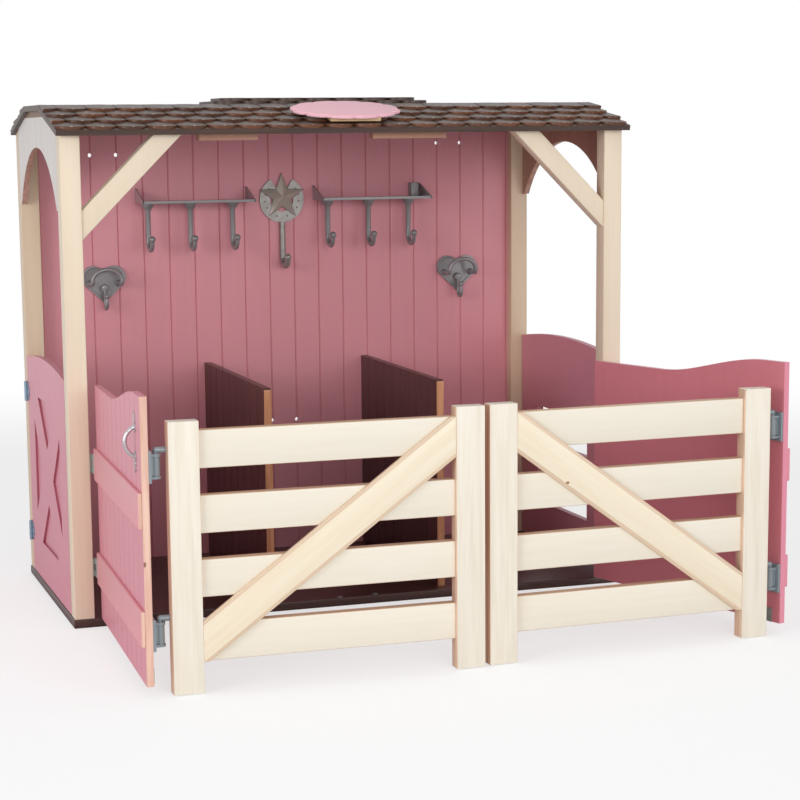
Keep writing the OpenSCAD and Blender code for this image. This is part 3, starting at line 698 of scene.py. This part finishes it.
# %% Solids that stay
PLAIN = (
    ("back_wall", wall_rose), ("ridge_beam", beam_brown), ("roof_front_board", board_brown),
    ("roof_top_board", board_brown), ("roof_rear_board", board_brown), ("plaque_block", bare_wood),
    ("eave_cleats", cleat_wood), ("star_hook", star_metal), ("magnet_catch", knuckle_steel),
    ("front_hinge_post_leaves", knuckle_steel), ("side_hinge_post_leaves", blue_silver),
    ("left_side_hinge_leaves", blue_silver), ("right_side_hinge_leaves", blue_silver),
    ("roof_cap_lower", board_brown), ("roof_cap_upper", board_brown),
)
PAIRED = (
    ("door_handle", bright_steel), ("door_hinge_leaves", knuckle_steel), ("door_catch_plate", knuckle_steel),
    ("gate_brackets", hinge_grey), ("gate_arms", hinge_grey),
)
for node, material in PLAIN:
    finish_node(node, material)
for side in ("left", "right"):
    for part, material in PAIRED:
        finish_node(f"{side}_{part}", material)
print("solids finished as they are:", len(PLAIN) + 2 * len(PAIRED))

# %% [markdown]
# ## The front doors
# Each front door is a grooved panel, and it stands open at its own angle, so
# its planks don't run along a main axis. The finish turns the place of a
# point into a distance from the hinge, and draws lines of painted shade in the grooves there.

# %% Front door panels
HINGE = (0.2996, -0.1566)
OPEN = {"left": math.radians(92.33), "right": math.radians(107.63)}
# along the door from its hinge: where the panel starts and ends, and its number of planks
DOOR_START, DOOR_W, PLANKS = 0.001, 0.2975, 10
# off the hinge plane, towards the stalls: the outer face, and the panel's thickness
OUT_FACE, PANEL_T = 0.0026, 0.0071


def door_direction(side):
    """Unit vector from the hinge to the free edge, and the one across the panel towards the stalls."""
    a, sign = OPEN[side], -1 if side == "left" else 1
    along = (-sign * math.cos(a), -math.sin(a))
    inward = (-sign * math.sin(a), math.cos(a))
    return along, inward


def door_place(side, s, n, z):
    """Place of a point s along the door from the hinge, n off the hinge plane and z up, in metres."""
    sign = -1 if side == "left" else 1
    along, inward = door_direction(side)
    return (sign * HINGE[0] + along[0] * s + inward[0] * n, HINGE[1] + along[1] * s + inward[1] * n, z)


# the knot in the left door's free edge: off the hinge plane, and up
KNOT_N, KNOT_Z = 0.0036, 0.1305


def door_paint(side, kind="door", colour=ROSE):
    """Pale rose outside, deeper towards the stalls, a bare or pink free edge, painted shade lines in a door's
    grooves.
    """
    f = Finish(f"{side}_{kind}_paint")
    sign = -1 if side == "left" else 1
    along, inward = door_direction(side)
    s = (f.x - sign * HINGE[0]) * along[0] + (f.y - HINGE[1]) * along[1]
    n = (f.x - sign * HINGE[0]) * inward[0] + (f.y - HINGE[1]) * inward[1]
    fine = f.grain(UPRIGHT)
    broad = f.noise(f.place, 9, 2, 0.5)
    tone = 1 + (fine - 0.5) * 0.09 + (broad - 0.5) * 0.06
    stalls = n.ease(OUT_FACE + PANEL_T - 0.0014, OUT_FACE + PANEL_T - 0.0004)
    paint = f.mix(stalls, colour, ROSE_DEEP)
    if kind == "door":
        pitch = (DOOR_W - DOOR_START) / PLANKS
        # painted shade: a darker line in each groove of the outer face
        line = 1 - abs((s - DOOR_START + pitch / 2).repeat(pitch) - pitch / 2).ease(0.0003, 0.0013)
        paint = f.mix(line * (1 - stalls) * 0.6, paint, linear(140, 76, 88))
    free_edge = s.ease(DOOR_W - 0.0005, DOOR_W - 0.0002)
    if side == "left":
        bare = f.mix(fine.ease(0.35, 0.7), linear(226, 178, 158), linear(242, 202, 182))
        across, up_to = n - KNOT_N, f.z - KNOT_Z
        knot = across * across + up_to * up_to * 0.35
        bare = f.mix(1 - knot.ease(0.0000004, 0.000004), bare, linear(150, 96, 70))
        paint = f.mix(free_edge, paint, bare)
    else:
        paint = f.mix(free_edge, paint, linear(238, 150, 170))
    return f.satin(f.toned(paint, tone), fine)


for side in ("left", "right"):
    finish_node(side + "_door_panel", door_paint(side))
    eased(side + "_door_battens", door_paint(side, "batten", linear(236, 164, 172)), 0.9)
print("door paint: pale outside, deep towards the stalls")

# %% [markdown]
# ## Gate posts and rails
# A gate post is two strips glued flat to flat, painted cream in front, and
# its cut sides are bare and show the joint. The rails are painted in front
# too, and tan on top and below.

# %% Gate posts and rails
# a gate lies along its axis (x, y), and turns about a point this far along its door and off the hinge plane
GATE_AXIS = {"left": (0.99992, -0.01274), "right": (-0.99954, -0.03019)}
PINTLE = (0.2893, 0.01805)
# along a gate from its pins: its start, its length and a post's width; across it, the joint of the strips
GATE_START, GATE_LEN, POST_W, STRIP_JOINT = 0.0098, 0.319, 0.030, -0.0048
RAIL_Z, RAIL_HALF = (0.050, 0.113, 0.1755, 0.2385), 0.0185
TAN, TAN_PALE = linear(206, 168, 134), linear(226, 192, 160)


def along_gate(f, side):
    """Distance of a point from the gate's pins, along the gate and across it."""
    px, py, _ = door_place(side, *PINTLE, 0)
    ax, ay = GATE_AXIS[side]
    turn = 1 if side == "left" else -1
    return (f.x - px) * ax + (f.y - py) * ay, ((f.x - px) * -ay + (f.y - py) * ax) * turn


def gate_post_finish(side):
    """Cream faces, and at the cut sides bare tan wood with the brown line between two glued strips."""
    f = Finish(side + "_gate_post_paint")
    s, n = along_gate(f, side)
    fine = f.grain(UPRIGHT)
    first, last = abs(s - GATE_START - POST_W / 2), abs(s - GATE_START - GATE_LEN + POST_W / 2)
    cut = first.least(last).ease(POST_W / 2 - 0.0004, POST_W / 2 - 0.0001)
    joint = 1 - abs(n - STRIP_JOINT).ease(0.0004, 0.0008)
    cream_wood = f.mix(fine.ease(0.3, 0.75), linear(246, 238, 223), linear(236, 225, 206))
    tan = f.mix(fine.ease(0.35, 0.7), linear(226, 188, 160), linear(240, 208, 182))
    tan = f.mix(joint, tan, linear(176, 130, 94))
    return f.satin(f.mix(cut, cream_wood, tan), fine)


def rail_finish():
    """Cream faces, and tan on the top and bottom of each of the four rails."""
    f = Finish("gate_rail_paint")
    fine = f.grain(ACROSS)
    broad = f.noise(f.along((6, 20, 20)), 1, 2, 0.5)
    near = abs(f.z - RAIL_Z[0])
    for z in RAIL_Z[1:]:
        near = near.least(abs(f.z - z))
    amount = fine.ease(0.3, 0.75) * 0.5 + broad * 0.5
    cream_wood = f.mix(amount, linear(244, 236, 220), linear(238, 229, 211))
    tan = f.mix(fine.ease(0.35, 0.7), TAN, TAN_PALE)
    cut = near.ease(RAIL_HALF - 0.0008, RAIL_HALF - 0.0002)
    return f.satin(f.mix(cut, cream_wood, tan), fine)


gate_rail_paint = rail_finish()
for side in ("left", "right"):
    eased(side + "_gate_posts", gate_post_finish(side), 1.1)
    eased(side + "_gate_rails", gate_rail_paint, 1.0)
print("gate posts and rails eased, rails at z in mm:", [round(z / MM, 1) for z in RAIL_Z])

# %% [markdown]
# ## Slanting braces
# The braces are bare varnished wood, a little yellower than the rails. Their
# grain runs with them, so the pattern is turned by the brace's slope.

# %% Gate braces
# rise and run of the brace's slope, its middle (along, up), and the soft edge of its narrow faces
BRACE_RISE, BRACE_RUN = 0.1895, 0.259
BRACE_MID, BRACE_EDGE = (GATE_START + GATE_LEN / 2, 0.14425), (0.0176, 0.0179)
BRACE_KNOT = (0.2434, 0.1822)


def brace_finish(side):
    """Pale varnished wood with its grain along the brace, painted shade in tan on its long narrow faces, one
    small knot.
    """
    f = Finish(side + "_brace_wood")
    s, _ = along_gate(f, side)
    lean = math.atan2(BRACE_RISE, BRACE_RUN) * (1 if side == "left" else -1)
    fine = f.grain(ACROSS, (0, lean, 0))
    wood = f.mix(fine.ease(0.3, 0.75), linear(248, 235, 212), linear(243, 226, 198))
    off = abs(f.z - BRACE_MID[1] - (s - BRACE_MID[0]) * (BRACE_RISE / BRACE_RUN))
    # painted shade: tan on the brace's long narrow faces
    wood = f.mix(off.ease(*BRACE_EDGE) * 0.6, wood, f.mix(fine.ease(0.35, 0.7), TAN, TAN_PALE))
    if side == "right":
        along, up_to = s - BRACE_KNOT[0], f.z - BRACE_KNOT[1]
        knot = along * along * 0.5 + up_to * up_to
        wood = f.mix(1 - knot.ease(0.0000003, 0.0000035), wood, linear(160, 104, 66))
    return f.satin(wood, fine, 0.40, 0.00015)


for side in ("left", "right"):
    eased(side + "_gate_brace", brace_finish(side), 0.8)
print("braces lean by degrees:", round(math.degrees(math.atan2(BRACE_RISE, BRACE_RUN)), 1))

# %% [markdown]
# ## The bare sign
# The sign on the roof is a thin oval with a scalloped edge, painted pink and
# left plain here.

# %% Sign
sign_pink = painted("sign_pink", linear(252, 196, 207), ACROSS, streak=0.05, rough=0.5)
eased("roof_plaque", sign_pink, 0.5)
print("sign eased, without words")

# %% [markdown]
# ## Screws
# Leaves, brackets and plates are held by small cross-head screws. One dome
# is worked out in polar form: the height falls from the middle to the rim
# along a circle, and two crossing slots are pressed into it.


# %% Screws
def screw_head(centre, normal, radius, turn):
    """Points of a dome of given radius on a face, with a cross-shaped slot pressed in.

    height = 0.34 radius * sqrt(1 - 0.9 * (distance / radius)^2), less 0.2 radius
    where the point is near one of two crossing lines and not at the rim.
    """
    r = np.array([0, 0.16, 0.3, 0.44, 0.58, 0.72, 0.86, 0.96, 1.0, 1.0]) * radius
    t = np.linspace(0, 2 * math.pi, 33)[:-1]
    rr, tt = np.meshgrid(r, t, indexing="ij")
    a, b = rr * np.cos(tt), rr * np.sin(tt)
    dome = radius * 0.34 * np.sqrt(np.clip(1 - (rr / radius) ** 2 * 0.9, 0, 1))
    slot = (np.minimum(np.abs(a), np.abs(b)) < radius * 0.13) & (rr < radius * 0.62)
    dome = dome - slot * radius * 0.2
    # the last ring goes a hair into the face
    dome[-1] = -0.0001
    n = Vector(normal).normalized()
    u = n.cross(Vector((0, 0, 1)) if abs(n.z) < 0.9 else Vector((1, 0, 0))).normalized()
    spin = Matrix.Rotation(turn, 3, n)
    u, w = np.array(spin @ u), np.array(spin @ n.cross(u))
    return np.array(centre) + a[..., None] * u + b[..., None] * w + dome[..., None] * np.array(n)


def weld_and_face(piece):
    """Merges doubled points and turns every face outwards."""
    work = bmesh.new()
    work.from_mesh(piece.data)
    bmesh.ops.remove_doubles(work, verts=work.verts, dist=1e-7)
    bmesh.ops.recalc_face_normals(work, faces=work.faces)
    work.to_mesh(piece.data)
    work.free()


def screws(name, places, body, material, radius):
    """One piece of several screw heads, each turned a little further than the last."""
    points, faces, start = [], [], 0
    for k, (centre, normal) in enumerate(places):
        p = screw_head(centre, normal, radius, 0.5 + 0.9 * k)
        rows, columns = p.shape[:2]
        closed = np.concatenate([p, p[:, :1]], axis=1)
        points.append(closed.reshape(-1, 3))
        faces.append(grid_faces(rows, columns + 1, start))
        start += rows * (columns + 1)
    piece = mesh_piece(name, np.concatenate(points), np.concatenate(faces), material, body)
    weld_and_face(piece)


# places on a door: along it in metres, then up in millimetres, with the steps from a fitting's own height
BRACKET_S, BRACKET_Z, BRACKET_STEPS, BRACKET_T = (0.2806, 0.295), (48, 211.5), (-1.4, 25.4), 0.003
LEAF_N, LEAF_Z, LEAF_STEPS = 0.0063, (67, 182), (-5.5, 5.5)
STRIKE_S, STRIKE_Z, STRIKE_T = 0.2785, (14.7, 20.9), 0.0008
for side in ("left", "right"):
    along, inward = door_direction(side)
    into = (inward[0], inward[1], 0)
    to_post = (-along[0], -along[1], 0)
    door = side + "_front_door"
    stalls_face = OUT_FACE + PANEL_T
    places = [(door_place(side, s, stalls_face + BRACKET_T, (z + dz) * MM), into)
              for s in BRACKET_S for z in BRACKET_Z for dz in BRACKET_STEPS]
    screws(side + "_bracket_screws", places, door, hinge_grey, 0.0014)
    places = [(door_place(side, 0.0, LEAF_N, (z + dz) * MM), to_post) for z in LEAF_Z for dz in LEAF_STEPS]
    screws(side + "_leaf_screws", places, door, knuckle_steel, 0.0016)
    places = [(door_place(side, STRIKE_S, stalls_face + STRIKE_T, z * MM), into) for z in STRIKE_Z]
    screws(side + "_strike_screws", places, door, bright_steel, 0.0014)
print("screws driven in each door:", 8 + 4 + 2)

# %% [markdown]
# ## Rods, knobs and outlines
# The shelves and the heart racks on the wall carry hooks. A hook is a rod of
# changing thickness: a bell under its shelf, an even stem, half a turn to the
# front that thins to a neck, and a ball at the tip. One function sweeps a
# circle along a path with a radius for each point, and so makes the hooks, the
# bosses and the bow over each heart. The trays and their end cheeks are
# outlines drawn from one end to the other.

# %% Swept rods and drawn outlines
WALL_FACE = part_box("back_wall")[0][1] / MM


def rod(path, radii, sides=24):
    """Points and faces of a closed tube: ring k lies round path[k] with radius radii[k].

    A ring is point + radius * (cos * normal + sin * third), and each normal is the
    last one less its part along the path, so the tube doesn't twist.
    """
    path, radii = np.array(path, float), np.array(radii, float)
    ahead = np.gradient(path, axis=0)
    ahead /= np.linalg.norm(ahead, axis=1)[:, None]
    first = np.cross(ahead[0], (0.0, 0.0, 1.0) if abs(ahead[0][2]) < 0.9 else (1.0, 0.0, 0.0))
    normal = [first / np.linalg.norm(first)]
    for a in ahead[1:]:
        n = normal[-1] - a * (normal[-1] @ a)
        normal.append(n / np.linalg.norm(n))
    normal = np.array(normal)
    third = np.cross(ahead, normal)
    t = np.linspace(0, 2 * math.pi, sides + 1)[:, None]
    rings = path[:, None] + radii[:, None, None] * (np.cos(t) * normal[:, None] + np.sin(t) * third[:, None])
    return rings.reshape(-1, 3), grid_faces(len(path), sides + 1)


def ball_end(centre_z, radius, neck):
    """Heights and radii of a ball whose lower side is cut where it is as thin as the neck."""
    lowest = -math.acos(neck / radius)
    angle = np.linspace(lowest, math.pi / 2, 12)
    return centre_z + radius * np.sin(angle), radius * np.cos(angle)


def hook(x, y, stem, bend_z, turn, thick, ball, steps):
    """Stem of (z, radius) pairs straight down at (x, y), half a circle to the front, and up into a ball.

    Round the bend, y falls by turn * (1 - cos) and z dips by turn * sin of the angle,
    while the radius goes evenly through `thick`.
    """
    stem_z, stem_r = zip(*stem)
    angle = np.linspace(0, math.pi, steps)
    ball_z, ball_r = ball_end(*ball)
    depth = np.concatenate([np.zeros(len(stem)), turn * (np.cos(angle) - 1), np.full(len(ball_z), -2 * turn)])
    z = np.concatenate([stem_z, bend_z - turn * np.sin(angle), ball_z])
    radii = np.concatenate([stem_r, np.linspace(*thick, steps), ball_r])
    return rod(np.stack([np.full_like(z, x), y + depth, z], axis=-1), radii)


def knob(x, z, profile):
    """Turned knob on the wall: its profile is (distance from the wall, radius) pairs."""
    return rod([(x, WALL_FACE - d, z) for d, _ in profile], [r for _, r in profile])


def prism(outline, x0, x1):
    """Closed solid of an outline of (y, z) points, drawn from x0 to x1."""
    n = len(outline)
    points = np.array([(x, y, z) for x in (x0, x1) for y, z in outline])
    sides = [(i, (i + 1) % n, n + (i + 1) % n, n + i) for i in range(n)]
    return points, [tuple(range(n)), tuple(range(n, 2 * n))] + sides


def rectangle(y0, y1, z0, z1):
    """Outline with corners at the two depths and the two heights."""
    return [(y0, z0), (y1, z0), (y1, z1), (y0, z1)]


def moulding(node, parts, ease):
    """One piece from several closed shells, with rounded edges, in place of a solid."""
    points, faces, start = [], [], 0
    for p, f in parts:
        points.append(p)
        faces += [[int(i) + start for i in face] for face in f]
        start += len(p)
    piece = mesh_piece(node + "_moulded", np.concatenate(points) * MM, faces, grey_plastic,
                       body_of_node(node))
    weld_and_face(piece)
    round_edges(piece, ease)
    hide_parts(node)


print("wall's face at y in mm:", round(WALL_FACE, 1))

# %% [markdown]
# ## The hook shelves
# A shelf is one moulding: a thin tray with a low lip, a cheek at each end and
# three hooks below. The right one also has a small square cup. All of them are
# closed shells that overlap a little, and together they are one piece.

# %% Hook shelves
# a tray's underside, depth and thickness, its front lip's thickness and height, its end cheek's height
TRAY_Z, TRAY_DEEP, TRAY_T, LIP_T, LIP_TALL, CHEEK_TALL = 451.5, 45.0, 2.5, 2.0, 3.2, 18.0
# from left to right: the two ends of a shelf, and the places of its hooks
SHELVES = {"left": (-185.0, -44.0, (-173.8, -121.0, -68.0)), "right": (41.0, 185.0, (54.5, 108.0, 161.0))}
CUP_X, CUP_DEEP, CUP_TALL, CUP_T = (167.9, 179.9), 9.3, 19.0, 1.2
HOOK_BACK, HOOK_DROP, HOOK_TURN = 20.0, 45.5, 11.0
# height from the tray, and radius; the first step of a hair keeps the flat top apart from its rim
BELL = ((0.01, 0), (0, 7.8), (-2, 7.7), (-4, 7.0), (-6, 5.6), (-8, 4.2), (-10, 3.4))


def shelf_hook(x):
    """A bell under the tray, a long stem, and a ball on a thinner neck."""
    stem = [(TRAY_Z + z, r) for z, r in BELL]
    bend_z = TRAY_Z - HOOK_DROP
    return hook(x, WALL_FACE - HOOK_BACK, stem, bend_z, HOOK_TURN, (3.2, 2.6), (bend_z + 2.6, 4.2, 2.6), 15)


def cup_parts():
    """Four thin walls of the square cup at the right shelf's end, open at the top."""
    a, b = CUP_X
    face, low, rim = WALL_FACE - CUP_DEEP, TRAY_Z + 1.0, TRAY_Z + CUP_TALL
    side_wall = rectangle(face, WALL_FACE, low, rim)
    return [
        prism(side_wall, a, a + CUP_T), prism(side_wall, b - CUP_T, b),
        prism(rectangle(face, face + CUP_T, low, rim), a + 0.1, b - 0.1),
        prism(rectangle(WALL_FACE - CUP_T, WALL_FACE, low, rim), a + 0.1, b - 0.1),
    ]


def shelf_parts(side):
    """Tray, front lip, two end cheeks and three hooks, and the cup on the right shelf."""
    x0, x1, hooks = SHELVES[side]
    front = WALL_FACE - TRAY_DEEP
    low, edge, top = TRAY_Z, TRAY_Z + LIP_TALL, TRAY_Z + CHEEK_TALL
    cheek = [(front, low), (WALL_FACE, low), (WALL_FACE, top), (front + LIP_T, edge), (front, edge)]
    # the tray starts a little behind and above the lip, so that they share no corner
    tray = rectangle(front + 0.5, WALL_FACE, low + 0.1, low + TRAY_T)
    parts = [prism(tray, x0 + 0.5, x1 - 0.5)]
    parts.append(prism(rectangle(front, front + LIP_T, low, edge), x0 + 0.5, x1 - 0.5))
    parts += [prism(cheek, x0, x0 + 2.0), prism(cheek, x1 - 2.0, x1)]
    parts += [shelf_hook(x) for x in hooks]
    return parts + (cup_parts() if side == "right" else [])


print("closed shells in the left and right shelf:", len(shelf_parts("left")), len(shelf_parts("right")))

# %% [markdown]
# ## The heart racks
# A rack is a heart-shaped plate with a bow that arches over a small hook. The
# heart is two arcs and the two lines that touch them. Its plate is a stack of
# such outlines, and the last ones are a little sunk to leave a shallow tray.

# %% Heart racks
RACKS = {"left": -227.0, "right": 232.6}
# the heart's point; the bow's ends, half width, rise, bend and reach from the wall, and its radius
POINT_Z, BOW_Z, BOW_HALF, BOW_RISE, BOW_BEND, BOW_REACH, BOW_R = 330.8, 355.0, 18.0, 14.0, 4.0, 26.0, 2.6
# (distance from the wall, radius) of the bow's bosses, and of the disc that carries the small hook
BOSS = ((3.0, 0), (3.01, 4.3), (6.5, 3.6), (8.5, 2.7), (9.0, 0))
DISC_Z, DISC = 349.0, ((2.9, 0), (2.91, 5.2), (8.0, 5.0), (9.4, 4.0), (9.8, 0))


def heart(half, tall, raised):
    """Outline of a heart as (x, z): two arcs and the straight sides that touch them."""
    r = 0.526 * half
    c, h = half - r, tall - r
    turn = math.atan2(h, c) - math.asin(r / math.hypot(c, h))
    a = np.linspace(turn - math.pi / 2, math.acos(-c / r), 25)
    lobe = np.stack([c + r * np.cos(a), h + r * np.sin(a)], axis=-1)
    whole = np.concatenate([[[0.0, 0.0]], lobe, lobe[-2::-1] * (-1, 1)])
    return whole + (0, raised)


def heart_plate(x):
    """Plate 4 mm thick with a shallow tray: rings of the heart at growing distances from the wall."""
    outer, inner = heart(27.0, 45.6, 0.0), heart(23.5, 39.8, 3.4)
    middle = np.tile((0.0, 27.0), (len(outer), 1))
    sunk = inner * 0.98 + (0, 0.5)
    rows = ((middle, 0.0), (outer, 0.0), (outer, 4.0), (inner, 4.0), (sunk, 3.0), (middle, 3.0))
    rings = []
    for outline, d in rows:
        across, tall = np.concatenate([outline, outline[:1]]).T
        rings.append(np.stack([x + across, np.full(len(across), WALL_FACE - d), POINT_Z + tall], axis=-1))
    rings = np.array(rings)
    return rings.reshape(-1, 3), grid_faces(len(rows), len(outer) + 1)


def bow(x):
    """Rod straight out of each boss, a quarter turn up, and half an ellipse over the hook."""
    front = WALL_FACE - BOW_REACH
    quarter = np.linspace(0, math.pi / 2, 7)
    arch = np.linspace(math.pi, 0, 29)[1:-1]
    end = [(-BOW_HALF, WALL_FACE - 2.0, BOW_Z), (-BOW_HALF, front + BOW_BEND + 1.0, BOW_Z)]
    for t in quarter:
        end.append((-BOW_HALF, front + BOW_BEND * (1 - math.sin(t)), BOW_Z + BOW_BEND * (1 - math.cos(t))))
    over = [(BOW_HALF * math.cos(t), front, BOW_Z + BOW_BEND + BOW_RISE * math.sin(t)) for t in arch]
    path = np.array(end + over + [(-px, py, pz) for px, py, pz in end[::-1]]) + (x, 0, 0)
    return rod(path, np.full(len(path), BOW_R))


def rack_parts(x):
    """Heart plate, the bow with its two bosses, and the disc with the small hook."""
    stem = ((DISC_Z + 0.01, 0), (DISC_Z, 2.3), (DISC_Z - 9.0, 1.9))
    return [
        heart_plate(x), bow(x), knob(x - BOW_HALF, BOW_Z, BOSS), knob(x + BOW_HALF, BOW_Z, BOSS),
        knob(x, DISC_Z, DISC), hook(x, WALL_FACE - 8.2, stem, 330.4, 5.6, (1.9, 2.6), (340.2, 3.5, 2.0), 13),
    ]


for side, x in RACKS.items():
    moulding(side + "_hook_shelf", shelf_parts(side), 0.35)
    moulding(side + "_heart_rack", rack_parts(x), 0.3)
print("shelves and racks hung, racks at x in mm:", list(RACKS.values()))

# %% [markdown]
# ## Light, floor and background
# Four large soft lamps and an even sky light the barn about as a plain
# studio does. The floor is white, keeps a soft shadow and fades out into the
# white background some way behind the barn.


# %% Studio
def area_lamp(name, place, target, size, watts):
    """Round soft lamp at `place` that faces `target`."""
    lamp = bpy.data.lights.new(name, "AREA")
    lamp.shape = "DISK"
    lamp.size = size
    lamp.energy = watts
    made = bpy.data.objects.new(name, lamp)
    made.location = place
    made.rotation_euler = (Vector(target) - Vector(place)).to_track_quat("-Z", "Y").to_euler()
    bpy.context.scene.collection.objects.link(made)


area_lamp("key_lamp", (-3.0, -1.9, 0.95), (0, 0, 0.25), 1.5, 34)
area_lamp("front_lamp", (-0.2, -3.4, 0.9), (0, 0, 0.25), 1.2, 23)
area_lamp("fill_lamp", (1.6, -3.0, 0.85), (0, 0, 0.25), 1.7, 12)
area_lamp("top_lamp", (0.0, -0.6, 3.0), (0, 0, 0.3), 2.5, 10)


def white_seen(finish, plain):
    """Mixes plain white in where the camera, a reflection or a ray through glass looks."""
    white = finish.node("ShaderNodeBackground", {}, (1, 1, 1, 1), 1.0)
    seen = finish.ray("Camera").most(finish.ray("Glossy") * 0.8).most(finish.ray("Transmission"))
    return finish.node("ShaderNodeMixShader", {}, seen, plain, white)


class World(Finish):
    """The sky, with the same node method as a material."""

    def __init__(self):
        world = bpy.data.worlds.new("studio")
        world.use_nodes = True
        self.tree = world.node_tree
        self.tree.nodes.clear()
        bpy.context.scene.world = world


sky = World()
soft = sky.node("ShaderNodeBackground", {}, (0.97, 0.98, 1, 1), 0.43)
sky.node("ShaderNodeOutputWorld", {}, white_seen(sky, soft))

FADE_START, FADE_END, FLOOR_R, FLOOR_Z = 0.95, 2.1, 2.4, -0.0002


def floor_paper():
    """White paper that keeps a soft shadow, and turns clear with the distance from the barn."""
    f = Finish("floor_white")
    away = f.node("ShaderNodeVectorMath", {"operation": "LENGTH"}, f.place, out="Value")
    paper = f.node("ShaderNodeBsdfDiffuse", {}, (0.93, 0.93, 0.93, 1))
    lit = f.node("ShaderNodeEmission", {}, (1, 1, 1, 1), 1.2)
    paper = f.node("ShaderNodeMixShader", {}, f.ray("Camera") * 0.5, paper, lit)
    clear = f.node("ShaderNodeBsdfTransparent", {}, (1, 1, 1, 1))
    paper = f.node("ShaderNodeMixShader", {}, away.ease(FADE_START, FADE_END), paper, clear)
    f.node("ShaderNodeOutputMaterial", {}, paper)
    return f.material


ring = np.linspace(0, 2 * math.pi, 65)[:-1]
disc = np.stack([FLOOR_R * np.cos(ring), FLOOR_R * np.sin(ring), np.full(64, FLOOR_Z)], axis=-1)
floor_mesh = bpy.data.meshes.new("floor")
floor_mesh.from_pydata(disc.tolist(), [], [tuple(range(64))])
floor_mesh.materials.append(floor_paper())
floor = bpy.data.objects.new("floor", floor_mesh)
bpy.context.scene.collection.objects.link(floor)
floor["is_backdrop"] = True
print("studio set, floor clear beyond metres:", FADE_END)

# %% [markdown]
# ## Sizes
# The box of the dressed barn is kept beside the box of the solids, so that
# the two can be compared after each change.

# %% Print the sizes and finish
bpy.context.view_layer.update()
sizes = {"cad": [list(map(float, p)) for p in cad_box], "visual": [list(map(float, p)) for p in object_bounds()]}
for name, (low, high) in sizes.items():
    print(name, "size in mm:", [round((h - l) / MM, 1) for l, h in zip(low, high)])
